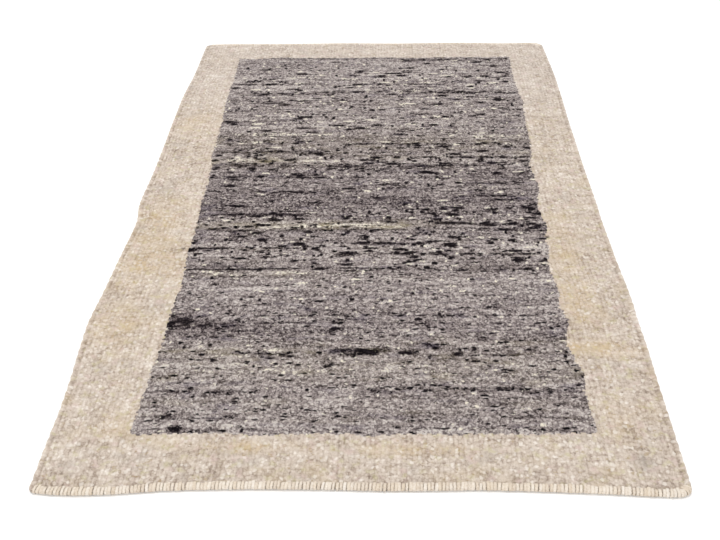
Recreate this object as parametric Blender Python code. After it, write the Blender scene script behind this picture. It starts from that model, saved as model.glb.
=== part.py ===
"""Handwoven wool runner rug, lying flat.

One thick weft-faced cloth with raised lengthwise ribs and corded selvedges, and a whip-stitched
binding wrapped over each short end. Metres, +Z up, the rug's length along Y and its near end at -Y.
The origin is under the middle of the rug, on the surface that it lies on.
"""
import math

import bmesh
import bpy
from mathutils import Vector

# Size of the whole rug
RUG_WIDTH = 0.800
RUG_LENGTH = 1.500
BORDER_WIDTH = 0.098

# The cloth, from the surface it lies on
RIB_COUNT = 120
RIB_CREST = 0.0063
RIB_GROOVE = 0.0053
UNEVENNESS = 0.00025

# The corded selvedge, as distances in from the edge and heights
CORD_WIDTH = 0.008
CORD_OUTER_HEIGHT = 0.0034
CORD_SHOULDER_IN = 0.0015
CORD_SHOULDER_HEIGHT = 0.0062
CORD_CREST_IN = 0.0045
CORD_CREST_HEIGHT = 0.0070
CORD_FOOT_IN = 0.0025
SCALLOP_COUNT = 78
SCALLOP_DEPTH = 0.0011
SCALLOP_SINK = 0.0004

# The stitched binding over each short end
BINDING_YARN = 0.0018
BINDING_DEPTH = 0.0090
TONGUE_BOTTOM = 0.0021
TONGUE_TOP = 0.0049
CUTTER_CLEARANCE = 0.010
GAP = 0.0003
BINDING_PITCH = 0.040
ARC_STEPS = 6
ARC_END = math.radians(78)

# How far a weaver's uneven beat carries in from the ends, and a rounded corner's share of it
END_FADE = 0.35
CORNER_FADE = 2.2

# Where along the rug the ribs bend with the sides, beside the border's inner lines
RIB_BENDS = (0.24, 0.35, 0.53, 0.65, 0.71, 0.90, 1.19, 1.31)

# The flat underside: a plain panel this far in, and a point at every few ribs along the ends
PANEL_INSET = 0.050
RIBS_PER_FOOT_POINT = 5

# Points read along each edge to find the middle of the outline
OUTLINE_STEPS = 200

NEAR, FAR = -1, 1
LEFT, RIGHT = -1, 1
BORDER, FIELD = 0, 1
CORNER_RADIUS = {
    (NEAR, LEFT): 0.005,
    (NEAR, RIGHT): 0.018,
    (FAR, LEFT): 0.010,
    (FAR, RIGHT): 0.020,
}

# How far each selvedge bulges beyond its straight line, by distance from the near end
SIDE_EDGES = (
    # along, left, right
    (0.00, -0.004, -0.002),
    (0.05, -0.004, -0.001),
    (0.17, -0.003, 0.000),
    (0.29, 0.003, 0.002),
    (0.35, 0.005, 0.002),
    (0.41, 0.002, 0.003),
    (0.53, -0.003, 0.000),
    (0.65, -0.008, -0.002),
    (0.71, -0.001, -0.001),
    (0.83, -0.003, -0.002),
    (1.07, -0.002, -0.001),
    (1.19, -0.002, 0.001),
    (1.31, -0.008, 0.001),
    (1.43, -0.009, -0.002),
    (1.50, -0.010, -0.004),
)

# How far each short end bulges beyond its straight line, by distance from the left edge
END_EDGES = (
    # across, near, far
    (0.00, 0.003, -0.006),
    (0.04, 0.008, -0.003),
    (0.10, 0.007, -0.002),
    (0.17, 0.000, -0.003),
    (0.25, -0.003, -0.002),
    (0.35, -0.003, -0.001),
    (0.45, -0.001, -0.005),
    (0.55, -0.003, -0.003),
    (0.62, -0.001, -0.003),
    (0.70, 0.003, -0.008),
    (0.76, 0.007, -0.007),
    (0.80, 0.008, -0.009),
)

GREY_WOOL = (0.262, 0.230, 0.222, 1.0)
CREAM_WOOL = (0.665, 0.571, 0.468, 1.0)
WOOL_ROUGHNESS = 0.95


def read_table(table, column, place):
    """A smooth curve through one column of a table, read at a place."""
    last = len(table) - 1
    place = min(max(place, table[0][0]), table[last][0])
    row = 0
    while row < last - 1 and place > table[row + 1][0]:
        row += 1
    start, end = table[row], table[row + 1]
    span = end[0] - start[0]
    before, after = table[max(row - 1, 0)], table[min(row + 2, last)]
    slope_start = (end[column] - before[column]) / (end[0] - before[0]) * span
    slope_end = (after[column] - start[column]) / (after[0] - start[0]) * span
    t = (place - start[0]) / span
    rise = end[column] - start[column]
    curve = 3 * rise - 2 * slope_start - slope_end
    turn = slope_start + slope_end - 2 * rise
    return start[column] + t * (slope_start + t * (curve + t * turn))


def side_line(side, along):
    """X of a selvedge, at a distance from the near end."""
    column = 1 if side == LEFT else 2
    return side * (RUG_WIDTH / 2 + read_table(SIDE_EDGES, column, along))


def end_bulge(end, x):
    """How far a short end stands out from its straight line at X."""
    column = 1 if end == NEAR else 2
    return read_table(END_EDGES, column, x + RUG_WIDTH / 2)


def corner_inset(end, side, distance_in):
    """How far a rounded corner draws the end in, at a distance in from the selvedge."""
    radius = CORNER_RADIUS[end, side]
    if distance_in >= radius:
        return 0.0
    return radius - math.sqrt(radius**2 - (radius - max(distance_in, 0.0)) ** 2)


def plan_point(side, distance_in, along):
    """X and Y of a point that lies a distance in from one selvedge, along the cloth."""
    x = side_line(side, along) - side * distance_in
    y = along - RUG_LENGTH / 2
    for end, from_end in ((NEAR, along), (FAR, RUG_LENGTH - along)):
        fade = max(1 - from_end / END_FADE, 0.0) ** 2
        y += end * end_bulge(end, x) * fade
        radius = CORNER_RADIUS[end, side]
        corner_fade = max(1 - from_end / (CORNER_FADE * radius), 0.0)
        y -= end * corner_inset(end, side, distance_in) * corner_fade
    return x, y


def end_point(end, side, distance_in):
    """X and Y of the outline of a short end."""
    along = 0.0 if end == NEAR else RUG_LENGTH
    return Vector(plan_point(side, distance_in, along))


def middle_of_outline():
    """X and Y of the middle of the box around the outline."""
    places = [step / OUTLINE_STEPS for step in range(OUTLINE_STEPS + 1)]
    outline = []
    for side in (LEFT, RIGHT):
        outline += [plan_point(side, 0.0, place * RUG_LENGTH) for place in places]
        for end in (NEAR, FAR):
            outline += [end_point(end, side, place * RUG_WIDTH / 2) for place in places]
    xs, ys = zip(*outline)
    return Vector(((min(xs) + max(xs)) / 2, (min(ys) + max(ys)) / 2))


def lie_of_cloth(x, y):
    """The slight rise and fall of a handwoven surface."""
    waves = math.sin(9.1 * x + 4.3 * y) + math.sin(15.7 * y - 5.2 * x + 1.1)
    waves += math.sin(27.0 * y + 21.0 * x + 2.4)
    return UNEVENNESS * waves / 3


def wool(name, colour):
    """A matt wool finish."""
    material = bpy.data.materials.new(name)
    material.use_nodes = True
    shader = material.node_tree.nodes["Principled BSDF"]
    shader.inputs["Base Color"].default_value = colour
    shader.inputs["Roughness"].default_value = WOOL_ROUGHNESS
    shader.inputs["Metallic"].default_value = 0.0
    material.diffuse_color = colour
    return material


def add_object(name, mesh_data, materials):
    """Turns a bmesh into an object of the scene."""
    bmesh.ops.recalc_face_normals(mesh_data, faces=mesh_data.faces)
    mesh = bpy.data.meshes.new(name)
    mesh_data.to_mesh(mesh)
    mesh_data.free()
    for material in materials:
        mesh.materials.append(material)
    made = bpy.data.objects.new(name, mesh)
    bpy.context.scene.collection.objects.link(made)
    return made


def reach_along(line):
    """How far along a line each of its points lies, from 0 to 1."""
    lengths = [0.0]
    for point, following in zip(line, line[1:]):
        lengths.append(lengths[-1] + (following.co - point.co).length)
    return [length / lengths[-1] for length in lengths]


def zip_lines(mesh_data, first, second):
    """Fills between two lines of points with triangles, whichever line has more points."""
    first_reach, second_reach = reach_along(first), reach_along(second)
    i, j = 0, 0
    while i < len(first) - 1 or j < len(second) - 1:
        second_done = j == len(second) - 1
        if second_done or (i < len(first) - 1 and first_reach[i + 1] <= second_reach[j + 1]):
            mesh_data.faces.new((first[i], first[i + 1], second[j]))
            i += 1
        else:
            mesh_data.faces.new((first[i], second[j + 1], second[j]))
            j += 1


def add_selvedge(mesh_data, side, shift):
    """The corded edge down one side. Returns its lines of points, from its foot to the first rib."""
    rows = 2 * SCALLOP_COUNT
    section = (
        # distance in, height, share of the scallop that it takes
        (CORD_FOOT_IN, 0.0, 0.6),
        (0.0, CORD_OUTER_HEIGHT, 1.0),
        (CORD_SHOULDER_IN, CORD_SHOULDER_HEIGHT, 0.9),
        (CORD_CREST_IN, CORD_CREST_HEIGHT, 0.3),
        (CORD_WIDTH, RIB_GROOVE, 0.0),
    )
    lines = []
    for distance_in, height, share in section:
        line = []
        for row in range(rows + 1):
            in_valley = row % 2 == 0 and 0 < row < rows
            draw_in = SCALLOP_DEPTH * share if in_valley else 0.0
            sink = SCALLOP_SINK * share if in_valley and height > CORD_OUTER_HEIGHT else 0.0
            along = RUG_LENGTH * row / rows
            x, y = plan_point(side, distance_in + draw_in, along)
            rise = lie_of_cloth(x, y) if height > CORD_OUTER_HEIGHT else 0.0
            line.append(mesh_data.verts.new((x - shift.x, y - shift.y, height + rise - sink)))
        lines.append(line)
    for outer, inner in zip(lines, lines[1:]):
        zip_lines(mesh_data, outer, inner)
    return lines


def rib_lines(mesh_data, stations, shift):
    """One line of points along each groove and each crest between the two cords."""
    lines = []
    for step in range(1, 2 * RIB_COUNT):
        share = step / (2 * RIB_COUNT)
        height = RIB_CREST if step % 2 else RIB_GROOVE
        side = LEFT if share < 0.5 else RIGHT
        line = []
        for along in stations:
            width = side_line(RIGHT, along) - side_line(LEFT, along) - 2 * CORD_WIDTH
            from_side = share * width if side == LEFT else (1 - share) * width
            x, y = plan_point(side, CORD_WIDTH + from_side, along)
            line.append(mesh_data.verts.new((x - shift.x, y - shift.y, height + lie_of_cloth(x, y))))
        lines.append(line)
    return lines


def add_end_wall(mesh_data, top_line, foot_left, foot_right, ribs, row):
    """The cut edge of the cloth at one end. Returns the line of points along its foot."""
    feet = [foot_left]
    for line in ribs[RIBS_PER_FOOT_POINT::2 * RIBS_PER_FOOT_POINT]:
        feet.append(mesh_data.verts.new((line[row].co.x, line[row].co.y, 0.0)))
    feet.append(foot_right)
    zip_lines(mesh_data, top_line, feet)
    return feet


def end_path(end, shift):
    """Points along the part of an end that the binding covers, round the right-hand corner."""
    start = CORNER_RADIUS[end, LEFT] + GAP
    radius = CORNER_RADIUS[end, RIGHT]
    straight_steps = round(RUG_WIDTH / 2 / BINDING_PITCH)
    path = []
    for step in range(straight_steps):
        place = start + (RUG_WIDTH / 2 - start) * step / straight_steps
        path.append(end_point(end, LEFT, place))
    for step in range(straight_steps):
        place = RUG_WIDTH / 2 + (radius - RUG_WIDTH / 2) * step / straight_steps
        path.append(end_point(end, RIGHT, place))
    for step in range(ARC_STEPS + 1):
        angle = ARC_END * step / ARC_STEPS
        path.append(end_point(end, RIGHT, radius * (1 - math.sin(angle))))
    return [point - shift for point in path]


def outward_normals(path, end):
    """The direction out of the rug at each point of an end's path."""
    normals = []
    for index in range(len(path)):
        ahead = path[min(index + 1, len(path) - 1)]
        behind = path[max(index - 1, 0)]
        run = (ahead - behind).normalized()
        normals.append(Vector((run.y, -run.x)) * (1 if end == NEAR else -1))
    return normals


def sweep_section(path, normals, section, overrun):
    """A closed solid of one section swept along a path, run on a little past both ends."""
    mesh_data = bmesh.new()
    first_run = (path[0] - path[1]).normalized() * overrun
    last_run = (path[-1] - path[-2]).normalized() * overrun
    rings = []
    for index, (point, normal) in enumerate(zip(path, normals)):
        if index == 0:
            point = point + first_run
        if index == len(path) - 1:
            point = point + last_run
        ring = []
        for outward, height in section:
            place = point + normal * outward
            ring.append(mesh_data.verts.new((place.x, place.y, height)))
        rings.append(ring)
    for ring, next_ring in zip(rings, rings[1:]):
        for corner in range(len(section)):
            following = (corner + 1) % len(section)
            mesh_data.faces.new((ring[corner], ring[following], next_ring[following], next_ring[corner]))
    mesh_data.faces.new(rings[0])
    mesh_data.faces.new(list(reversed(rings[-1])))
    return mesh_data


def binding_section():
    """The yarn's wrap over the end: a C, open towards the cloth, as outward distance and height."""
    inner_low = TONGUE_BOTTOM - GAP
    inner_high = TONGUE_TOP + GAP
    top = inner_high + BINDING_YARN
    round_off = BINDING_YARN * 0.75
    return (
        (-BINDING_DEPTH, 0.0),
        (-BINDING_YARN, 0.0),
        (-BINDING_YARN * 0.35, round_off * 0.6),
        (0.0, round_off * 1.7),
        (0.0, top - round_off * 1.7),
        (-BINDING_YARN * 0.35, top - round_off * 0.6),
        (-BINDING_YARN, top),
        (-BINDING_DEPTH + round_off, top),
        (-BINDING_DEPTH, top - round_off),
        (-BINDING_DEPTH, inner_high),
        (-BINDING_YARN, inner_high),
        (-BINDING_YARN, inner_low),
        (-BINDING_DEPTH, inner_low),
    )


def cutter_section():
    """What the wrap takes out of the cloth's end, so that a thin tongue is left inside it."""
    clear = CUTTER_CLEARANCE
    inner = -BINDING_DEPTH - GAP
    return (
        (inner, -clear),
        (clear, -clear),
        (clear, RIB_CREST + clear),
        (inner, RIB_CREST + clear),
        (inner, TONGUE_TOP),
        (-BINDING_YARN - GAP, TONGUE_TOP),
        (-BINDING_YARN - GAP, TONGUE_BOTTOM),
        (inner, TONGUE_BOTTOM),
    )


def make_cutter(end, shift):
    """A guide that cuts the room for one binding. It is no part of the rug."""
    path = end_path(end, shift)
    mesh_data = sweep_section(path, outward_normals(path, end), cutter_section(), GAP)
    name = "near_end_cutter" if end == NEAR else "far_end_cutter"
    cutter = add_object(name, mesh_data, ())
    cutter.hide_render = True
    cutter.display_type = "WIRE"
    return cutter


def make_cloth(shift, grey, cream):
    """The woven rug in one piece."""
    mesh_data = bmesh.new()
    left = add_selvedge(mesh_data, LEFT, shift)
    right = add_selvedge(mesh_data, RIGHT, shift)

    stations = (0.0, BORDER_WIDTH, *RIB_BENDS, RUG_LENGTH - BORDER_WIDTH, RUG_LENGTH)
    ribs = rib_lines(mesh_data, stations, shift)
    zip_lines(mesh_data, left[-1], ribs[0])
    zip_lines(mesh_data, right[-1], ribs[-1])
    border_lines = round(2 * RIB_COUNT * (BORDER_WIDTH - CORD_WIDTH) / (RUG_WIDTH - 2 * CORD_WIDTH))
    last_row = len(stations) - 2
    for index, (line, next_line) in enumerate(zip(ribs, ribs[1:])):
        across_field = border_lines <= index < len(ribs) - 1 - border_lines
        for row in range(last_row + 1):
            face = mesh_data.faces.new((line[row], next_line[row], next_line[row + 1], line[row + 1]))
            face.material_index = FIELD if across_field and 0 < row < last_row else BORDER

    feet = []
    for row in (0, -1):
        across = [line[row] for line in left[1:]]
        across += [line[row] for line in ribs]
        across += [line[row] for line in reversed(right[1:])]
        feet.append(add_end_wall(mesh_data, across, left[0][row], right[0][row], ribs, row))

    half_width, half_length = RUG_WIDTH / 2 - PANEL_INSET, RUG_LENGTH / 2 - PANEL_INSET
    panel = {}
    for side in (LEFT, RIGHT):
        for end in (NEAR, FAR):
            panel[side, end] = mesh_data.verts.new((side * half_width, end * half_length, 0.0))
    mesh_data.faces.new((panel[LEFT, NEAR], panel[RIGHT, NEAR], panel[RIGHT, FAR], panel[LEFT, FAR]))
    zip_lines(mesh_data, left[0], [panel[LEFT, NEAR], panel[LEFT, FAR]])
    zip_lines(mesh_data, right[0], [panel[RIGHT, NEAR], panel[RIGHT, FAR]])
    zip_lines(mesh_data, feet[0], [panel[LEFT, NEAR], panel[RIGHT, NEAR]])
    zip_lines(mesh_data, feet[1], [panel[LEFT, FAR], panel[RIGHT, FAR]])

    cloth = add_object("woven_cloth", mesh_data, (cream, grey))
    for end in (NEAR, FAR):
        cut = cloth.modifiers.new("room_for_binding", "BOOLEAN")
        cut.operation = "DIFFERENCE"
        cut.solver = "EXACT"
        cut.object = make_cutter(end, shift)
    return cloth


def make_binding(name, end, shift, cream):
    """The whip stitching over one end, as one wrapped strip."""
    path = end_path(end, shift)
    mesh_data = sweep_section(path, outward_normals(path, end), binding_section(), 0.0)
    return add_object(name, mesh_data, (cream,))


for old in list(bpy.data.objects):
    bpy.data.objects.remove(old, do_unlink=True)

centre = middle_of_outline()
grey_wool = wool("grey_wool", GREY_WOOL)
cream_wool = wool("cream_wool", CREAM_WOOL)
make_cloth(centre, grey_wool, cream_wool)
make_binding("end_binding_front", NEAR, centre, cream_wool)
make_binding("end_binding_back", FAR, centre, cream_wool)
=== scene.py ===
import math

import bpy
import numpy as np
from mathutils import Matrix, Vector
from mathutils.geometry import delaunay_2d_cdt


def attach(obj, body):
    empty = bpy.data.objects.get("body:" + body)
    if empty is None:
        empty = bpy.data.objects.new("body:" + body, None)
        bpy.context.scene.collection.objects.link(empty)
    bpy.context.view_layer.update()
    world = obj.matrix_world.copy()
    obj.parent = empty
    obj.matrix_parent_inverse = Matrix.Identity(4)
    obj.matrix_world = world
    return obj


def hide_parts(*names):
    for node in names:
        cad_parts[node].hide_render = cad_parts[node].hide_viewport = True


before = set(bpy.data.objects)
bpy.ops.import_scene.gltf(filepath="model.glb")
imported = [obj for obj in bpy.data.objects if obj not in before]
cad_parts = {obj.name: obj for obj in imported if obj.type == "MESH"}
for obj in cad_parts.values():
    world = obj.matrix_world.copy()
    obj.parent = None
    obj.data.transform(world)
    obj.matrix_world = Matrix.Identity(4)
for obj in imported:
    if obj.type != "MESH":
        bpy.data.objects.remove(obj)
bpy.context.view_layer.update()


# The near border
# Cream handspun wool weft, beaten down hard over the warps from the bound near end to where the
# grey begins. The rug is one cloth, so the set-out of its ribs and picks is made here, and the
# other parts of the cloth are taken from the same set-out.
RUG_WIDTH = 0.800
RUG_LENGTH = 1.500
RIB_COUNT = 120
RIB_CREST = 0.0060
RIB_GROOVE = 0.0056
UNEVENNESS = 0.00025
CORD_WIDTH = 0.008
CORD_SECTION = (
    # distance in from the edge, height, share of the scallop that it takes
    (0.0025, 0.0000, 0.6),
    (0.0008, 0.0014, 0.9),
    (0.0000, 0.0034, 1.0),
    (0.0004, 0.0050, 1.0),
    (0.0015, 0.0062, 0.9),
    (0.0029, 0.0068, 0.6),
    (0.0045, 0.0070, 0.3),
    (0.0064, 0.0063, 0.1),
)
SCALLOP_COUNT = 78
SCALLOP_DEPTH = 0.0011
SCALLOP_SINK = 0.0004
END_FADE = 0.35
CORNER_FADE = 2.2
OUTLINE_STEPS = 200
NEAR, FAR = -1, 1
LEFT, RIGHT = -1, 1
CORNER_RADIUS = {(NEAR, LEFT): 0.005, (NEAR, RIGHT): 0.018, (FAR, LEFT): 0.010, (FAR, RIGHT): 0.020}
SIDE_EDGES = (
    # along from the near end, how far the left and right selvedges stand out from straight
    (0.00, -0.004, -0.002),
    (0.05, -0.004, -0.001),
    (0.17, -0.003, 0.000),
    (0.29, 0.003, 0.002),
    (0.35, 0.005, 0.002),
    (0.41, 0.002, 0.003),
    (0.53, -0.003, 0.000),
    (0.65, -0.008, -0.002),
    (0.71, -0.001, -0.001),
    (0.83, -0.003, -0.002),
    (1.07, -0.002, -0.001),
    (1.19, -0.002, 0.001),
    (1.31, -0.008, 0.001),
    (1.43, -0.009, -0.002),
    (1.50, -0.010, -0.004),
)
END_EDGES = (
    # across from the left edge, how far the near and far ends stand out from straight
    (0.00, 0.003, -0.006),
    (0.04, 0.008, -0.003),
    (0.10, 0.007, -0.002),
    (0.17, 0.000, -0.003),
    (0.25, -0.003, -0.002),
    (0.35, -0.003, -0.001),
    (0.45, -0.001, -0.005),
    (0.55, -0.003, -0.003),
    (0.62, -0.001, -0.003),
    (0.70, 0.003, -0.008),
    (0.76, 0.007, -0.007),
    (0.80, 0.008, -0.009),
)
FIELD_SIDES = (
    # along from the near end, left and right edge of the grey, across from the middle
    (0.09, -0.293, 0.303),
    (0.15, -0.291, 0.299),
    (0.19, -0.290, 0.299),
    (0.22, -0.289, 0.303),
    (0.30, -0.285, 0.289),
    (0.35, -0.287, 0.299),
    (0.39, -0.285, 0.292),
    (0.43, -0.283, 0.296),
    (0.50, -0.285, 0.290),
    (0.55, -0.288, 0.295),
    (0.59, -0.285, 0.296),
    (0.63, -0.286, 0.302),
    (0.70, -0.289, 0.295),
    (0.77, -0.289, 0.306),
    (0.85, -0.291, 0.299),
    (0.90, -0.296, 0.306),
    (0.95, -0.296, 0.311),
    (1.05, -0.297, 0.312),
    (1.15, -0.302, 0.316),
    (1.20, -0.302, 0.313),
    (1.30, -0.300, 0.309),
    (1.40, -0.303, 0.314),
)
NEAR_BORDER_DEPTH = 0.100
FAR_BORDER_DEPTH = 0.095
FIELD_WAVER = 0.0035
SHORT_WAVER_SHARE = 0.5
TOOTH_REACH = 0.0026
TOOTH_OWN_SHARE = 0.7
TOOTH_DRIFT_SHARE = 0.5

# The grid of points: four columns to a rib, two rows to a float
COLUMNS_PER_RIB = 4
FLOAT_ROWS = 341
PICK_ROWS = 2 * FLOAT_ROWS
CORD_POINT_SHARE = 0.55
ROWS_PER_SCALLOP = 9
SCALLOP_CURVE = 0.6
SCALLOP_LEAST = 0.6
SCALLOP_SPREAD = 0.8
CORD_GROOVE_DEPTH = 0.00025
CORD_GROOVE = (0.3, 0.9, 1.0, 0.6, 0.2)
GROOVE_LEAST, GROOVE_USUAL, GROOVE_MOST = 0.1, 0.6, 1.4

# How thin the end stitches press the cloth
END_TURN = 0.0019
END_PRESS = 0.0110
END_PRESS_CURVE = 1.3
END_TOP = 0.0049
END_UNDER = 0.0021

# The relief of the yarn, and the rows and columns of points over which each unevenness changes
FLOAT_RELIEF = 0.00020
FLOAT_SWELL = 0.35
THICK_FLOAT_RISE = 0.00008
SLUB_RELIEF = 0.00050
SLUB_SPAN = (2.5, 22)
SLUB_PATCH_SPAN = (40, 60)
SHORT_SLUB_SHARE = 0.35
SHORT_SLUB_SPAN = (3, 9)
NUB_RELIEF = 0.00042
NUB_SPAN = (1.3, 1.9)
RELIEF_ABOVE = 0.0030
GROOVE_RELIEF_SHARE = 0.25
CORD_RELIEF_SHARE = 0.5
CORD_NUB_SHARE = 0.45
PICK_WAVER = 0.0016
PICK_WAVER_SPAN = (26, 90)
RIB_WAVER = 0.0009
RIB_WAVER_SPAN = (34, 10)
YARN_JITTER = 0.00022
CALM_EDGE = 0.012
CORD_WAVER_SHARE = 0.35
WEAVE_SEED = 41

yarn_chance = np.random.default_rng(WEAVE_SEED)


def read_table(table, column, place):
    """A smooth curve through one column of a table, read at many places."""
    stations = np.array([row[0] for row in table])
    values = np.array([row[column] for row in table])
    last = len(table) - 1
    place = np.clip(place, stations[0], stations[last])
    row = np.searchsorted(stations[1:last], place, side="left")
    span = stations[row + 1] - stations[row]
    before = np.maximum(row - 1, 0)
    after = np.minimum(row + 2, last)
    slope_start = (values[row + 1] - values[before]) / (stations[row + 1] - stations[before]) * span
    slope_end = (values[after] - values[row]) / (stations[after] - stations[row]) * span
    t = (place - stations[row]) / span
    rise = values[row + 1] - values[row]
    curve = 3 * rise - 2 * slope_start - slope_end
    turn = slope_start + slope_end - 2 * rise
    return values[row] + t * (slope_start + t * (curve + t * turn))


def side_line(side, along):
    """X of a selvedge, at a distance from the near end."""
    return side * (RUG_WIDTH / 2 + read_table(SIDE_EDGES, 1 if side == LEFT else 2, along))


def end_bulge(end, x):
    """How far a short end stands out from its straight line at X."""
    return read_table(END_EDGES, 1 if end == NEAR else 2, x + RUG_WIDTH / 2)


def corner_inset(end, side, distance_in):
    """How far a rounded corner draws the end in, at a distance in from the selvedge."""
    radius = CORNER_RADIUS[end, side]
    short_of_it = radius - np.clip(distance_in, 0.0, radius)
    return radius - np.sqrt(radius**2 - short_of_it**2)


def plan_points(side, distance_in, along):
    """X and Y of points that lie a distance in from one selvedge, along the cloth."""
    x = side_line(side, along) - side * distance_in
    y = along - RUG_LENGTH / 2
    for end, from_end in ((NEAR, along), (FAR, RUG_LENGTH - along)):
        y = y + end * end_bulge(end, x) * np.maximum(1 - from_end / END_FADE, 0.0) ** 2
        radius = CORNER_RADIUS[end, side]
        corner_fade = np.maximum(1 - from_end / (CORNER_FADE * radius), 0.0)
        y = y - end * corner_inset(end, side, distance_in) * corner_fade
    return x, y


def middle_of_outline():
    """X and Y of the middle of the box around the outline."""
    places = np.arange(OUTLINE_STEPS + 1) / OUTLINE_STEPS
    xs, ys = [], []
    for side in (LEFT, RIGHT):
        lines = [plan_points(side, np.zeros_like(places), places * RUG_LENGTH)]
        for along in (0.0, RUG_LENGTH):
            lines.append(plan_points(side, places * RUG_WIDTH / 2, np.full_like(places, along)))
        for x, y in lines:
            xs += [x.min(), x.max()]
            ys += [y.min(), y.max()]
    return (min(xs) + max(xs)) / 2, (min(ys) + max(ys)) / 2


def lie_of_cloth(x, y):
    """The slight rise and fall of a handwoven surface."""
    waves = np.sin(9.1 * x + 4.3 * y) + np.sin(15.7 * y - 5.2 * x + 1.1)
    waves = waves + np.sin(27.0 * y + 21.0 * x + 2.4)
    return UNEVENNESS * waves / 3


def drift(rows, columns, row_step, column_step):
    """Smooth chance values from -1 to 1 that change over so many rows and columns."""
    coarse_rows = int(rows / row_step) + 3
    coarse_columns = int(columns / column_step) + 3
    coarse = yarn_chance.uniform(-1, 1, (coarse_rows, coarse_columns))
    row_at = np.arange(rows) / row_step
    column_at = np.arange(columns) / column_step
    row, column = row_at.astype(int), column_at.astype(int)
    t, s = row_at - row, column_at - column
    t, s = (t * t * (3 - 2 * t))[:, None], (s * s * (3 - 2 * s))[None, :]
    lower = coarse[row][:, column] * (1 - s) + coarse[row][:, column + 1] * s
    upper = coarse[row + 1][:, column] * (1 - s) + coarse[row + 1][:, column + 1] * s
    return lower * (1 - t) + upper * t


# Columns of points run from the foot of the left cord to the foot of the right one.
cord_points = len(CORD_SECTION)
rib_steps = RIB_COUNT * COLUMNS_PER_RIB
column_total = rib_steps + 1 + 2 * cord_points
row_total = PICK_ROWS + 1
column_index = np.arange(column_total)
rib_place = (column_index - cord_points) / COLUMNS_PER_RIB
rib_place = np.where(rib_place < 0, rib_place * CORD_POINT_SHARE, rib_place)
past_last_rib = (rib_place - RIB_COUNT) * CORD_POINT_SHARE
rib_place = np.where(rib_place > RIB_COUNT, RIB_COUNT + past_last_rib, rib_place)
row_index = np.arange(row_total)
along_rug = END_TURN + (RUG_LENGTH - 2 * END_TURN) * row_index / PICK_ROWS
shift_x, shift_y = middle_of_outline()


def over_cloth(row_step, column_step):
    """Smooth chance over all the points of the cloth."""
    return drift(row_total, column_total, row_step, column_step)


plan_x = np.zeros((row_total, column_total))
plan_y = np.zeros((row_total, column_total))
height = np.zeros((row_total, column_total))
cloth_width = side_line(RIGHT, along_rug) - side_line(LEFT, along_rug) - 2 * CORD_WIDTH
scallop = np.abs(np.sin(math.pi * SCALLOP_COUNT * along_rug / RUG_LENGTH)) ** SCALLOP_CURVE
own_scallop = yarn_chance.random(row_total // ROWS_PER_SCALLOP + 2)[row_index // ROWS_PER_SCALLOP]
scallop = (1 - scallop) * (SCALLOP_LEAST + SCALLOP_SPREAD * own_scallop)
for side in (LEFT, RIGHT):
    for point, (distance_in, cord_height, share) in enumerate(CORD_SECTION):
        column = point if side == LEFT else column_total - 1 - point
        draw_in = SCALLOP_DEPTH * share * scallop
        x, y = plan_points(side, distance_in + draw_in, along_rug)
        plan_x[:, column], plan_y[:, column] = x, y
        if cord_height > 0:
            rise = lie_of_cloth(x, y) * min(cord_height / RIB_GROOVE, 1.0)
            height[:, column] = cord_height + rise - SCALLOP_SINK * share * scallop
    half = range(rib_steps // 2 + 1) if side == LEFT else range(rib_steps // 2 + 1, rib_steps + 1)
    for step in half:
        share = step / rib_steps
        from_side = (share if side == LEFT else 1 - share) * cloth_width
        x, y = plan_points(side, CORD_WIDTH + from_side, along_rug)
        plan_x[:, cord_points + step] = x
        plan_y[:, cord_points + step] = y

rib = np.clip(np.floor(rib_place), 0, RIB_COUNT - 1)
crest_share = np.sin(math.pi * np.clip(rib_place - rib, 0, 1))
in_ribs = (column_index >= cord_points) & (column_index <= cord_points + rib_steps)
height[:, in_ribs] = RIB_GROOVE + (RIB_CREST - RIB_GROOVE) * crest_share[in_ribs][None, :]
height[:, in_ribs] += lie_of_cloth(plan_x, plan_y)[:, in_ribs]

# A groove runs beside each cord, deeper in some places than in others.
groove_depth = np.clip(GROOVE_USUAL + drift(row_total, 2, 24, 1), GROOVE_LEAST, GROOVE_MOST)
groove_depth = CORD_GROOVE_DEPTH * groove_depth
for step, share in enumerate(CORD_GROOVE):
    height[:, cord_points - 2 + step] -= groove_depth[:, 0] * share
    height[:, column_total + 1 - cord_points - step] -= groove_depth[:, 1] * share

# Each pick passes over every second rib, so the floats of neighbouring ribs lie like bricks.
float_place = row_index[:, None] / 2 + 0.5 * (rib[None, :] % 2)
float_index = np.floor(float_place).astype(int)
float_thickness = yarn_chance.normal(0, 1, (FLOAT_ROWS + 2, RIB_COUNT))
own_thickness = float_thickness[float_index, rib.astype(int)[None, :].repeat(row_total, 0)]
dome = np.cos(2 * math.pi * (float_place - float_index - 0.5))
rib_share = GROOVE_RELIEF_SHARE + (1 - GROOVE_RELIEF_SHARE) * crest_share
relief_share = np.where(in_ribs, rib_share, CORD_RELIEF_SHARE)[None, :]
slub = over_cloth(*SLUB_SPAN) * over_cloth(*SLUB_PATCH_SPAN)
slub = slub + SHORT_SLUB_SHARE * over_cloth(*SHORT_SLUB_SPAN)
relief = FLOAT_RELIEF * dome * (1 + FLOAT_SWELL * own_thickness) * relief_share
relief += SLUB_RELIEF * slub * relief_share
relief += NUB_RELIEF * over_cloth(*NUB_SPAN) * np.where(in_ribs, 1.0, CORD_NUB_SHARE)[None, :]
relief += THICK_FLOAT_RISE * own_thickness * relief_share
height = np.where(height > RELIEF_ABOVE, height + relief, height)

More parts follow.
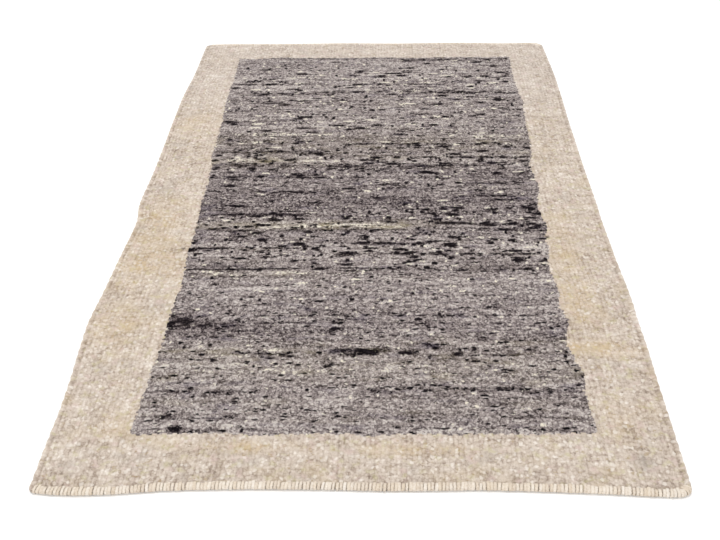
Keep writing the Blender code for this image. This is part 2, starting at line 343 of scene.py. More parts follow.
# No pick or rib runs quite straight, but the edges lie calmer than the middle.
reach_in = np.minimum(along_rug, RUG_LENGTH - along_rug)
edge_calm = np.minimum(reach_in / CALM_EDGE, 1.0)[:, None]
edge_calm = edge_calm * np.where(in_ribs, 1.0, CORD_WAVER_SHARE)[None, :]
plan_y += PICK_WAVER * over_cloth(*PICK_WAVER_SPAN) * edge_calm
plan_x += RIB_WAVER * over_cloth(*RIB_WAVER_SPAN) * edge_calm
plan_y += YARN_JITTER * yarn_chance.uniform(-1, 1, plan_y.shape) * edge_calm
plan_x += YARN_JITTER * yarn_chance.uniform(-1, 1, plan_x.shape) * edge_calm

# The end stitches press the cloth thin at both ends.
press = np.clip(1 - (reach_in - END_TURN) / END_PRESS, 0, 1)[:, None] ** END_PRESS_CURVE
height = np.where(height > END_TOP, height + (END_TOP - height) * press, height)
under = np.minimum(END_UNDER * press, height)
cloth_points = np.stack([plan_x - shift_x, plan_y - shift_y, height], -1).reshape(-1, 3)

# Which quads are grey: whole floats, in from the border by a line that each pick shares.
rib_numbers = np.arange(RIB_COUNT)
half_step = rib_numbers[None, :] % 2
quad_rib = np.clip((np.arange(column_total - 1) - cord_points) // COLUMNS_PER_RIB, -1, RIB_COUNT)
middle_columns = cord_points + COLUMNS_PER_RIB * rib_numbers + COLUMNS_PER_RIB // 2
quad_float = (np.arange(PICK_ROWS)[:, None] + half_step) // 2
float_row = np.clip(2 * quad_float + 1 - half_step, 0, PICK_ROWS)
own_along = np.take_along_axis(plan_y[:, middle_columns], float_row, 0) + RUG_LENGTH / 2
end_waver = drift(2, RIB_COUNT, 1, 9) + SHORT_WAVER_SHARE * drift(2, RIB_COUNT, 1, 3)
past_near = own_along > NEAR_BORDER_DEPTH + FIELD_WAVER * end_waver[0]
short_of_far = own_along < RUG_LENGTH - FAR_BORDER_DEPTH + FIELD_WAVER * end_waver[1]
between_ends = np.zeros((PICK_ROWS, column_total - 1), bool)
for one_rib in range(RIB_COUNT):
    between_ends[:, quad_rib == one_rib] = (past_near & short_of_far)[:, [one_rib]]

quad_x = (plan_x[:-1, :-1] + plan_x[1:, 1:]) / 2
quad_along = (along_rug[:-1] + along_rug[1:]) / 2
teeth = yarn_chance.uniform(-1, 1, (2, FLOAT_ROWS)) * TOOTH_OWN_SHARE
teeth = teeth + drift(2, FLOAT_ROWS, 1, 3) * TOOTH_DRIFT_SHARE
left_edge = read_table(FIELD_SIDES, 1, quad_along) + TOOTH_REACH * teeth[0].repeat(2)
right_edge = read_table(FIELD_SIDES, 2, quad_along) + TOOTH_REACH * teeth[1].repeat(2)
in_field = between_ends & (quad_x > left_edge[:, None]) & (quad_x < right_edge[:, None])


def fill_pinches(members):
    """Adds quads where two parts of the field would touch by a corner alone."""
    slanted = members[:-1, :-1] & members[1:, 1:] & ~members[:-1, 1:] & ~members[1:, :-1]
    other_way = ~members[:-1, :-1] & ~members[1:, 1:] & members[:-1, 1:] & members[1:, :-1]
    both = slanted | other_way
    for rows, columns in (
        (slice(None, -1), slice(None, -1)),
        (slice(1, None), slice(1, None)),
        (slice(None, -1), slice(1, None)),
        (slice(1, None), slice(None, -1)),
    ):
        members[rows, columns] |= both


PINCH_SWEEPS = 4
for sweep in range(PINCH_SWEEPS):
    fill_pinches(in_field)

# The side borders start three rows past the first row that is grey nearly all the way across, and
# stop two rows short of the last, so that the far and near borders hold the wavering joins.
NEARLY_ALL_GREY = 0.7
row_has_grey = np.nonzero(in_field.any(1))[0]
full_rows = np.nonzero(in_field.sum(1) > NEARLY_ALL_GREY * column_total)[0]
near_split = int(full_rows[0]) + 3
far_split = int(full_rows[-1]) - 2
row_of_quad = np.arange(PICK_ROWS)[:, None]
column_of_quad = np.arange(column_total - 1)[None, :]


def outline_loop(members):
    """The points round a part of the cloth, in order, with the part on the left."""
    padded = np.pad(members, 1)
    inside = padded[1:-1, 1:-1]
    following = {}
    sides = (
        # step to the neighbour, then the two corners of the quad on that side
        ((-1, 0), (0, 0), (0, 1)),
        ((0, 1), (0, 1), (1, 1)),
        ((1, 0), (1, 1), (1, 0)),
        ((0, -1), (1, 0), (0, 0)),
    )
    for (down, over), start, end in sides:
        neighbour = padded[1 + down:padded.shape[0] - 1 + down, 1 + over:padded.shape[1] - 1 + over]
        for row, column in zip(*np.nonzero(inside & ~neighbour)):
            first = (row + start[0]) * column_total + column + start[1]
            following[int(first)] = int((row + end[0]) * column_total + column + end[1])
    loop = [next(iter(following))]
    while following[loop[-1]] != loop[0]:
        loop.append(following[loop[-1]])
    if len(loop) != len(following):
        raise ValueError("a part of the cloth has more than one outline")
    return loop


def lies_within(spot, outline):
    """True for a spot inside a closed outline."""
    following = np.roll(outline, -1, axis=0)
    crosses = (outline[:, 1] > spot[1]) != (following[:, 1] > spot[1])
    start, end = outline[crosses], following[crosses]
    reach = start[:, 0] + (spot[1] - start[:, 1]) / (end[:, 1] - start[:, 1]) * (end[:, 0] - start[:, 0])
    return np.count_nonzero(reach > spot[0]) % 2 == 1


CORD_UNDERCUT = 5
TOP_SHARE = (0.01, 0.80)
WALL_SHARE = (0.812, 0.832)
BOTTOM_SHARE = (0.845, 0.990)
WIDTH_SHARE = (0.01, 0.99)
BOTTOM_ROWS = 14
BOTTOM_COLUMNS = 24
BOTTOM_START = 5
BOTTOM_MARGIN = 3
SAME_SPOT = 1e-9


def between(place, low, high, share):
    """Where a place between two others falls in a share of the bake map."""
    return share[0] + (share[1] - share[0]) * (place - low) / (high - low)


def raise_walls(loop, new_id, places):
    """Walls round a part, each with its turn in the outline, and the foot of each outline point."""
    foot_of = {}
    for point in loop:
        row, column = divmod(point, column_total)
        if column < CORD_UNDERCUT:
            foot_of[point] = int(new_id[row * column_total])
        elif column > column_total - 1 - CORD_UNDERCUT:
            foot_of[point] = int(new_id[(row + 1) * column_total - 1])
        else:
            foot_of[point] = len(places)
            places.append((*cloth_points[point, :2], float(under.ravel()[point])))
    walls = []
    for turn, (first, second) in enumerate(zip(loop, loop[1:] + loop[:1])):
        wall = [new_id[second], new_id[first], foot_of[first], foot_of[second]]
        wall = [int(point) for place, point in enumerate(wall) if point not in wall[:place]]
        if len(wall) > 2:
            walls.append((turn, wall))
    return walls, foot_of


def lay_underside(used, loop, foot_of, places):
    """Triangles that close a part from below, from its feet to a few points on the floor."""
    inner = used.copy()
    inner[1:-1, 1:-1] = (used[:-2, 1:-1] & used[2:, 1:-1] & used[1:-1, :-2] & used[1:-1, 2:])
    inner[[0, -1]] = False
    by_outline = np.zeros_like(used)
    loop_rows, loop_columns = np.divmod(np.array(loop), column_total)
    for down in range(-BOTTOM_MARGIN, BOTTOM_MARGIN + 1):
        for over in range(-BOTTOM_MARGIN, BOTTOM_MARGIN + 1):
            by_outline[np.clip(loop_rows + down, 0, row_total - 1),
                       np.clip(loop_columns + over, 0, column_total - 1)] = True
    chosen = np.zeros_like(used)
    chosen[BOTTOM_START::BOTTOM_ROWS, cord_points + 2::BOTTOM_COLUMNS] = True
    chosen[-1 - BOTTOM_START, cord_points + 2::BOTTOM_COLUMNS] = True
    chosen &= inner & ~by_outline

    floor_ids = [foot_of[point] for point in loop]
    floor_ids = [point for place, point in enumerate(floor_ids) if point != floor_ids[place - 1]]
    spots = [places[point][:2] for point in floor_ids]
    ring = list(range(len(floor_ids)))
    outline = np.array(spots)
    for point in np.nonzero(chosen.ravel())[0]:
        spots.append(tuple(cloth_points[point, :2]))
        floor_ids.append(len(places))
        places.append((*cloth_points[point, :2], 0.0))
    made = delaunay_2d_cdt([Vector(spot) for spot in spots], [], [ring], 1, SAME_SPOT, True)
    triangles = []
    for triangle in made[2]:
        ids = [made[3][point][0] for point in triangle]
        corners = np.array([spots[point] for point in ids])
        if not lies_within(corners.mean(0), outline):
            continue
        (ax, ay), (bx, by), (cx, cy) = corners
        if (bx - ax) * (cy - ay) > (by - ay) * (cx - ax):
            ids.reverse()
        triangles.append([floor_ids[point] for point in ids])
    return triangles


def map_weave(mesh, point_place, corner_point, top_ids):
    """The weave's own count of ribs across and floats along, which the wool's colour follows."""
    counted = np.zeros((len(point_place), 2))
    counted[:, 0] = (point_place[:, 0] / RUG_WIDTH + 0.5) * RIB_COUNT
    counted[:, 1] = (point_place[:, 1] / RUG_LENGTH + 0.5) * FLOAT_ROWS
    counted[:len(top_ids), 0] = rib_place[top_ids % column_total]
    counted[:len(top_ids), 1] = row_index[top_ids // column_total] / 2
    mesh.uv_layers.new(name="weave").data.foreach_set("uv", counted[corner_point].ravel())


def map_for_baking(mesh, point_place, corner_point, loop_start, top_ids, members, walls, turns):
    """One flat map of a part: its top, then its walls as a strip, then its underside."""
    rows, columns = np.nonzero(members)
    point_row, point_column = np.divmod(top_ids, column_total)
    spread = np.zeros((len(point_place), 2))
    spread[:len(top_ids), 0] = between(point_column, columns.min(), columns.max() + 1, WIDTH_SHARE)
    spread[:len(top_ids), 1] = between(point_row, rows.min(), rows.max() + 1, TOP_SHARE)
    corner_spread = spread[corner_point]
    for number, (turn, wall) in enumerate(walls):
        start = loop_start[len(rows) + number]
        near_u, far_u = (between(place, 0, turns, WIDTH_SHARE) for place in (turn, turn + 1))
        low_v, high_v = WALL_SHARE
        wall_places = [(far_u, high_v), (near_u, high_v), (near_u, low_v), (far_u, low_v)]
        corner_spread[start:start + len(wall)] = wall_places[:len(wall)]
    low, high = point_place.min(0), point_place.max(0)
    below = slice(loop_start[len(rows) + len(walls)], None)
    flat_place = point_place[corner_point[below]]
    corner_spread[below, 0] = between(flat_place[:, 0], low[0], high[0], WIDTH_SHARE)
    corner_spread[below, 1] = between(flat_place[:, 1], low[1], high[1], BOTTOM_SHARE)
    mesh.uv_layers.new(name="OFBake").data.foreach_set("uv", corner_spread.ravel())


def weave_part(name, members, material):
    """One closed part of the cloth, made of the quads that are its members."""
    used = np.zeros((row_total, column_total), bool)
    for down in (0, 1):
        for over in (0, 1):
            used[down:row_total - 1 + down, over:column_total - 1 + over] |= members
    top_ids = np.nonzero(used.ravel())[0]
    new_id = np.full(row_total * column_total, -1)
    new_id[top_ids] = np.arange(len(top_ids))
    places = list(map(tuple, cloth_points[top_ids]))

    rows, columns = np.nonzero(members)
    corner = rows * column_total + columns
    quads = np.stack([corner, corner + 1, corner + column_total + 1, corner + column_total], 1)
    loop = outline_loop(members)
    walls, foot_of = raise_walls(loop, new_id, places)
    bottoms = lay_underside(used, loop, foot_of, places)
    faces = new_id[quads].tolist() + [wall for turn, wall in walls] + bottoms

    mesh = bpy.data.meshes.new(name)
    mesh.from_pydata(places, [], faces)
    mesh.update()
    loop_start = np.zeros(len(mesh.polygons), int)
    mesh.polygons.foreach_get("loop_start", loop_start)
    corner_point = np.zeros(len(mesh.loops), int)
    mesh.loops.foreach_get("vertex_index", corner_point)
    smooth = np.zeros(len(faces), bool)
    smooth[:len(quads)] = True
    mesh.polygons.foreach_set("use_smooth", smooth)
    on_rim = np.zeros(len(places), bool)
    on_rim[new_id[np.array(loop)]] = True
    edge_ends = np.zeros(2 * len(mesh.edges), int)
    mesh.edges.foreach_get("vertices", edge_ends)
    mesh.edges.foreach_set("use_edge_sharp", on_rim[edge_ends].reshape(-1, 2).all(1))

    point_place = np.array(places)
    map_weave(mesh, point_place, corner_point, top_ids)
    map_for_baking(mesh, point_place, corner_point, loop_start, top_ids, members, walls, len(loop))
    mesh.materials.append(material)
    part = bpy.data.objects.new(name, mesh)
    bpy.context.scene.collection.objects.link(part)
    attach(part, "root")
    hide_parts("woven_cloth")
    return part, top_ids


def feed(tree, value, socket):
    """Joins a socket to another, or sets it."""
    if isinstance(value, bpy.types.NodeSocket):
        tree.links.new(value, socket)
    else:
        socket.default_value = value


def maths(tree, operation, *values):
    """A maths node's result."""
    node = tree.nodes.new("ShaderNodeMath")
    node.operation = operation
    for value, socket in zip(values, node.inputs):
        feed(tree, value, socket)
    return node.outputs[0]


def times(tree, first, second):
    """One value times another."""
    return maths(tree, "MULTIPLY", first, second)


def plus(tree, total, value, share):
    """A total, with a share of one more value added."""
    return maths(tree, "MULTIPLY_ADD", value, share, total)


def about(tree, start, *weighted):
    """A start value, moved by chances about 0.5, each with its weight."""
    total = start
    for value, weight in weighted:
        total = plus(tree, total, maths(tree, "SUBTRACT", value, 0.5), weight)
    return total


def place_of(tree, x, y, z=0.0):
    """A place made of two or three numbers."""
    node = tree.nodes.new("ShaderNodeCombineXYZ")
    for value, socket in zip((x, y, z), node.inputs):
        feed(tree, value, socket)
    return node.outputs[0]


def weave_spot(tree, at, per_rib, per_float, depth=0.0):
    """A place in a noise that moves on by so much for each rib and each float."""
    across, along = times(tree, at["across"], per_rib), times(tree, at["along"], per_float)
    return place_of(tree, across, along, depth)


def cloudy(tree, place, scale=1.0, detail=0.0):
    """Soft noise, about 0.5."""
    node = tree.nodes.new("ShaderNodeTexNoise")
    node.noise_dimensions = "3D"
    feed(tree, place, node.inputs["Vector"])
    node.inputs["Scale"].default_value = scale
    node.inputs["Detail"].default_value = detail
    return node.outputs[0]


def nubs(tree, place):
    """Small uneven cells, like the nubs of handspun yarn: three chances a cell, and its roundness."""
    node = tree.nodes.new("ShaderNodeTexVoronoi")
    node.voronoi_dimensions = "3D"
    feed(tree, place, node.inputs["Vector"])
    node.inputs["Scale"].default_value = 1.0
    node.inputs["Randomness"].default_value = 0.9
    parts = tree.nodes.new("ShaderNodeSeparateColor")
    tree.links.new(node.outputs["Color"], parts.inputs[0])
    return parts.outputs[0], parts.outputs[1], parts.outputs[2], node.outputs["Distance"]


def rise_between(tree, value, start, full):
    """0 where the value is at the start, 1 where it is full, smooth between and level beyond."""
    node = tree.nodes.new("ShaderNodeMapRange")
    node.interpolation_type = "SMOOTHSTEP"
    node.clamp = True
    feed(tree, value, node.inputs["Value"])
    node.inputs["From Min"].default_value = start
    node.inputs["From Max"].default_value = full
    return node.outputs[0]


def linear(screen):
    """Light for a screen value from 0 to 255."""
    value = screen / 255
    return value / 12.92 if value <= 0.04045 else ((value + 0.055) / 1.055) ** 2.4


def wool_shades(tree, value, shades):
    """A colour out of a row of shades, each written as its brightness on a screen."""
    node = tree.nodes.new("ShaderNodeValToRGB")
    marks = node.color_ramp.elements
    while len(marks) < len(shades):
        marks.new(0.5)
    for mark, (place, red, green, blue) in zip(marks, shades):
        mark.position = place
        mark.color = [linear(part) for part in (red, green, blue)] + [1.0]
    feed(tree, value, node.inputs["Fac"])
    return node.outputs["Color"]


def dyed(tree, colour, dye, share, strength=1.0):
    """A colour that turns to the dye by a share, times its strength."""
    node = tree.nodes.new("ShaderNodeMix")
    node.data_type = "RGBA"
    feed(tree, times(tree, share, strength), node.inputs[0])
    for one, socket in ((colour, node.inputs[6]), (dye, node.inputs[7])):
        if isinstance(one, tuple):
            one = [linear(part) for part in one] + [1.0]
        feed(tree, one, socket)
    return node.outputs[2]


def count_places(tree):
    """The two numbers that the weave map holds at each point."""
    counted = tree.nodes.new("ShaderNodeUVMap")
    counted.uv_map = "weave"
    parts = tree.nodes.new("ShaderNodeSeparateXYZ")
    tree.links.new(counted.outputs[0], parts.inputs[0])
    return parts.outputs[0], parts.outputs[1]


def weave_places(tree):
    """Ribs across and floats along at a point of the cloth, and where in its rib and float it lies."""
    across, along = count_places(tree)
    rib_number = maths(tree, "FLOOR", across)
    shifted = plus(tree, along, maths(tree, "FLOORED_MODULO", rib_number, 2.0), 0.5)
    float_number = maths(tree, "FLOOR", shifted)
    in_rib = maths(tree, "SUBTRACT", maths(tree, "SUBTRACT", across, rib_number), 0.5)
    in_float = maths(tree, "SUBTRACT", maths(tree, "SUBTRACT", shifted, float_number), 0.5)
    return {"across": across, "along": along, "in_rib": in_rib, "in_float": in_float}


def fibre_places(tree):
    """Metres over the cloth."""
    own = tree.nodes.new("ShaderNodeTexCoord")
    parts = tree.nodes.new("ShaderNodeSeparateXYZ")
    tree.links.new(own.outputs["Object"], parts.inputs[0])
    return parts.outputs[0], parts.outputs[1], parts.outputs[2]


def yarn_relief(tree, at, fibre, roundness):
    """Height of the floats, nubs and fibres, for the fine light and shade."""
    relief = plus(tree, 1.0, times(tree, at["in_rib"], at["in_rib"]), -0.4)
    relief = plus(tree, relief, times(tree, at["in_float"], at["in_float"]), -1.2)
    relief = plus(tree, relief, roundness, -1.3)
    return plus(tree, relief, fibre, 0.9)


def marked(tree, name):
    """A value that the cloth carries at each point."""
    node = tree.nodes.new("ShaderNodeAttribute")
    node.attribute_name = name
    return node.outputs["Fac"]


def new_wool(name):
    """An empty material with its nodes."""
    material = bpy.data.materials.new(name)
    material.use_nodes = True
    return material, material.node_tree


def wool_finish(tree, colour, yarn_height, bump_depth):
    """Matt wool with a little sheen, its yarn raised by the given height."""
    shader = tree.nodes["Principled BSDF"]
    feed(tree, colour, shader.inputs["Base Color"])
    shader.inputs["Roughness"].default_value = 0.92
    shader.inputs["Specular IOR Level"].default_value = 0.01
    shader.inputs["Sheen Weight"].default_value = 0.008
    shader.inputs["Sheen Roughness"].default_value = 0.6
    bump = tree.nodes.new("ShaderNodeBump")
    bump.inputs["Strength"].default_value = 1.0
    bump.inputs["Distance"].default_value = bump_depth
    feed(tree, yarn_height, bump.inputs["Height"])
    tree.links.new(bump.outputs[0], shader.inputs["Normal"])


CREAM_SHADES = (
    # tone, and the colour there as red, green and blue on a screen
    (0.00, 122, 108, 94),
    (0.28, 164, 149, 136),
    (0.52, 190, 176, 163),
    (0.78, 206, 194, 182),
    (1.00, 225, 216, 206),
)
CREAM_TINTS = (
    # depth in the noise, its scale and detail, where the tint starts and is full, how strong it is,
    # how much that changes towards the far end, and its colour
    (9.0, 16.0, 3.0, 0.50, 0.72, 0.34, -0.26, (194, 176, 145)),
    (21.0, 21.0, 3.0, 0.52, 0.74, 0.40, 0.00, (179, 170, 161)),
    (33.0, 75.0, 2.0, 0.53, 0.72, 0.46, -0.26, (187, 179, 140)),
    (57.0, 60.0, 2.0, 0.54, 0.74, 0.52, 0.00, (201, 179, 172)),
)
FAR_COOL = (190, 184, 184)
TAN_PATCH = (192, 168, 128)
TAN_FLECK = (154, 133, 98)
PALE_FLECK = (228, 221, 212)
# The dark of the black flecks and of the painted crease shade.
FLECK_AND_SHADE_DARK = (34, 27, 26)
CREAM_BUMP = 0.0008


def make_cream_wool():
    """Undyed cream wool: warm, cool, olive and rosy patches, the odd tan, pale or black fleck; painted
    shade between nubs, in grooves and along creases.
    """
    material, tree = new_wool("cream_handspun_wool")
    at = weave_places(tree)
    x, y, z = fibre_places(tree)
    fibre = cloudy(tree, place_of(tree, x, times(tree, y, 0.6), z), 700.0, 2.0)
    own_nub, second_nub, third_nub, roundness = nubs(tree, weave_spot(tree, at, 1.7, 0.92))
    along_pick = cloudy(tree, weave_spot(tree, at, 0.5, 1.4), 1.0, 1.0)
    patch = cloudy(tree, place_of(tree, x, y), 45.0, 2.0)
    broad = cloudy(tree, place_of(tree, x, y, 4.0), 9.0, 2.0)
    rib_tone = cloudy(tree, weave_spot(tree, at, 0.62, 0.022, 35.0), 1.0, 1.0)
    pick_tone = cloudy(tree, weave_spot(tree, at, 0.10, 0.42, 48.0), 1.0, 1.0)
    # The roundness term paints shade towards the edges of each nub, where the gaps between nubs lie.
    tone = about(tree, 0.59, (own_nub, 0.42), (along_pick, 0.24), (fibre, 0.56), (patch, 0.55),
                 (broad, 0.40), (roundness, -0.34), (rib_tone, 0.28), (pick_tone, 0.34))
    # Painted shade: darker towards the sides of each rib, in the grooves between ribs.
    tone = plus(tree, tone, times(tree, at["in_rib"], at["in_rib"]), -0.50)
    tone = plus(tree, tone, rise_between(tree, at["along"], 11.0, 1.0), -0.10)
    tone = plus(tree, tone, rise_between(tree, at["along"], 300.0, 328.0), 0.03)
    tone = plus(tree, tone, marked(tree, "border_tone"), 1.0)

    # The cords are lighter towards their outer rim. Inside each cord the groove is darkened as painted
    # shade, more in some places than in others.
    from_middle = maths(tree, "ABSOLUTE", maths(tree, "SUBTRACT", at["across"], RIB_COUNT / 2))
    past_ribs = maths(tree, "SUBTRACT", from_middle, RIB_COUNT / 2)
    tone = plus(tree, tone, rise_between(tree, past_ribs, 0.30, 0.70), 0.34)
    from_groove = maths(tree, "ABSOLUTE", maths(tree, "ADD", past_ribs, 0.05))
    groove_shade = rise_between(tree, from_groove, 0.40, 0.05)
    groove_shade = times(tree, groove_shade, rise_between(tree, broad, 0.38, 0.62))
    tone = plus(tree, tone, groove_shade, -0.15)

    colour = wool_shades(tree, tone, CREAM_SHADES)
    far_share = rise_between(tree, at["along"], 215.0, 295.0)
    for depth, scale, detail, start, full, strength, far_change, tint in CREAM_TINTS:
        cloud = cloudy(tree, place_of(tree, x, y, depth), scale, detail)
        tint_share = plus(tree, strength, far_share, far_change)
        colour = dyed(tree, colour, tint, rise_between(tree, cloud, start, full), tint_share)
    colour = dyed(tree, colour, FAR_COOL, far_share, 0.11)
    uneven = about(tree, 0.62, (second_nub, 0.7))
    colour = dyed(tree, colour, TAN_PATCH, marked(tree, "warm_patch"), uneven)
    tan_nub = rise_between(tree, about(tree, second_nub, (along_pick, 0.5)), 0.95, 1.03)
    colour = dyed(tree, colour, TAN_FLECK, tan_nub, 0.55)
    colour = dyed(tree, colour, PALE_FLECK, rise_between(tree, third_nub, 0.93, 0.97), 0.45)
    # Black flecks of stray fibre, and painted shade along creases.
    colour = dyed(tree, colour, FLECK_AND_SHADE_DARK, marked(tree, "fleck_and_crease_shade"), 0.9)
    wool_finish(tree, colour, yarn_relief(tree, at, fibre, roundness), CREAM_BUMP)
    return material


WARM_PATCHES = (
    # from the left edge, from the far end, reach across, reach along, how tan
    (0.060, 0.45, 0.040, 0.060, 0.35),
    (0.045, 0.84, 0.050, 0.060, 0.32),
    (0.718, 0.93, 0.030, 0.070, 0.40),
    (0.055, 0.98, 0.070, 0.075, 0.46),
    (0.720, 1.09, 0.030, 0.080, 0.48),
    (0.045, 1.16, 0.050, 0.050, 0.42),
    (0.718, 1.215, 0.026, 0.015, 0.85),
    (0.765, 1.220, 0.035, 0.016, 0.60),
    (0.735, 1.37, 0.020, 0.040, 0.45),
    (0.090, 1.38, 0.030, 0.030, 0.35),
    (0.260, 1.425, 0.060, 0.012, 0.45),
    (0.480, 1.430, 0.080, 0.012, 0.40),
)
BORDER_PATCHES = (
    # from the left edge, from the far end, reach across, reach along, how much lighter or darker
    (0.035, 0.050, 0.030, 0.030, -0.07),
    (0.078, 0.270, 0.035, 0.160, 0.09),
    (0.752, 0.210, 0.060, 0.130, 0.06),
    (0.752, 0.400, 0.060, 0.050, 0.05),
    (0.034, 0.560, 0.025, 0.090, -0.07),
    (0.752, 0.800, 0.060, 0.040, 0.08),
    (0.050, 0.835, 0.050, 0.040, 0.06),
    (0.034, 0.985, 0.028, 0.045, -0.08),
    (0.770, 1.010, 0.040, 0.030, -0.06),
    (0.050, 1.130, 0.050, 0.030, 0.08),
    (0.728, 1.250, 0.022, 0.030, -0.07),
    (0.078, 1.360, 0.034, 0.045, 0.07),
    (0.247, 1.450, 0.045, 0.045, 0.07),
)
# Small black flecks of stray fibre, and long thin lines of painted shade along creases in the border.
FLECKS_AND_CREASE_SHADE = (
    # from the left edge, from the far end, reach across, reach along, how dark
    (0.742, 0.500, 0.0024, 0.0400, 0.20),
    (0.726, 0.620, 0.0022, 0.0300, 0.20),
    (0.698, 0.906, 0.0040, 0.0032, 1.30),
    (0.103, 0.941, 0.0035, 0.0030, 0.90),
    (0.704, 1.385, 0.0020, 0.0250, 0.22),
    (0.749, 1.412, 0.0024, 0.0160, 0.12),
    (0.750, 1.446, 0.0028, 0.0150, 0.30),
)


def patches(table):
    """How strongly a table of soft patches shows at each point of the cloth."""
    from_left, from_far = plan_x + RUG_WIDTH / 2, RUG_LENGTH / 2 - plan_y
    shown = np.zeros_like(plan_x)
    for left, far, reach_across, reach_along, amount in table:
        spread = ((from_left - left) / reach_across) ** 2 + ((from_far - far) / reach_along) ** 2
        shown += amount * np.exp(-spread)
    return shown


def mark_points(part, top_points, marks):
    """Gives the points of a part of the cloth their values from the whole cloth's."""
    for name, values in marks.items():
        amounts = np.zeros(len(part.data.vertices), np.float32)
        amounts[:len(top_points)] = values.ravel()[top_points]
        part.data.attributes.new(name, "FLOAT", "POINT").data.foreach_set("value", amounts)


def weave_border(name, members):
    """A part of the cloth in cream wool."""
    part, top_points = weave_part(name, members, cream_wool)
    mark_points(part, top_points, border_marks)


WARM_PATCH_SPAN = (9, 13)
WARM_PATCH_UNEVEN = 0.7

cream_wool = make_cream_wool()
cream_quads = ~in_field
border_marks = {
    "warm_patch": patches(WARM_PATCHES) * (1 + WARM_PATCH_UNEVEN * over_cloth(*WARM_PATCH_SPAN)),
    "fleck_and_crease_shade": patches(FLECKS_AND_CREASE_SHADE),
    "border_tone": patches(BORDER_PATCHES),
}
weave_border("border_near", cream_quads & (row_of_quad < near_split))


# The side borders
# The same cream weft, turned back at every pick where it meets the grey, so the join is toothed.
# The outer edge is a thicker cord of paired warps that the weft wraps, drawn in every 19 mm.
side_split = (near_split + far_split) // 2
side_rows = (row_of_quad >= near_split) & (row_of_quad < far_split)
for side_name, on_side in (
    ("left", column_of_quad < column_total // 2),
    ("right", column_of_quad >= column_total // 2),
):
    for part_name, part_rows in (
        ("near", side_rows & (row_of_quad < side_split)),
        ("far", side_rows & (row_of_quad >= side_split)),
    ):
        weave_border("border_" + side_name + "_" + part_name, cream_quads & part_rows & on_side)


# The grey field
# Grey wool blended from black, white and fawn fleece, spun unevenly, so that single picks run dark
# or pale for a hand's breadth and black or cream lumps show. Woven in one with its borders.
FIELD_BANDS = (
    # from the far end, how much lighter or darker the yarn is, what share of the black and of the
    # cream runs it gets, and how fawn it is
    (0.08, 0.16, 0.02, 0.10, 0.03),
    (0.20, 0.13, 0.28, 0.80, 0.03),
    (0.28, 0.11, 0.26, 1.00, 0.03),
    (0.34, 0.06, 0.22, 0.90, 0.05),
    (0.42, 0.09, 0.22, 1.00, 0.05),
    (0.50, 0.04, 0.18, 0.75, 0.08),
    (0.57, 0.01, 0.36, 0.75, 0.16),
    (0.62, 0.08, 0.85, 0.85, 0.14),
    (0.67, -0.08, 0.40, 0.70, 0.02),
    (0.72, -0.03, 0.08, 0.40, 0.02),
    (0.79, -0.17, 0.14, 0.45, 0.00),
    (0.85, -0.01, 0.72, 0.85, 0.04),
    (0.89, -0.03, 0.50, 0.65, 0.03),
    (0.93, 0.07, 1.00, 1.00, 0.06),
    (0.97, 0.11, 0.66, 0.65, 0.08),
    (1.01, -0.04, 0.12, 0.60, 0.04),
    (1.05, 0.12, 0.02, 0.50, 0.05),
    (1.10, 0.02, 0.08, 0.35, 0.03),
    (1.14, 0.10, 0.10, 0.35, 0.03),
    (1.175, -0.11, 0.08, 0.35, 0.02),
    (1.205, 0.01, 0.06, 0.35, 0.14),
    (1.23, 0.03, 0.46, 0.60, 0.18),
    (1.26, 0.09, 0.08, 0.26, 0.26),
    (1.285, 0.07, 0.05, 0.36, 0.24),
    (1.31, 0.08, 0.12, 0.35, 0.06),
    (1.34, 0.05, 0.03, 0.30, 0.12),
    (1.42, 0.16, 0.03, 0.35, 0.02),
)
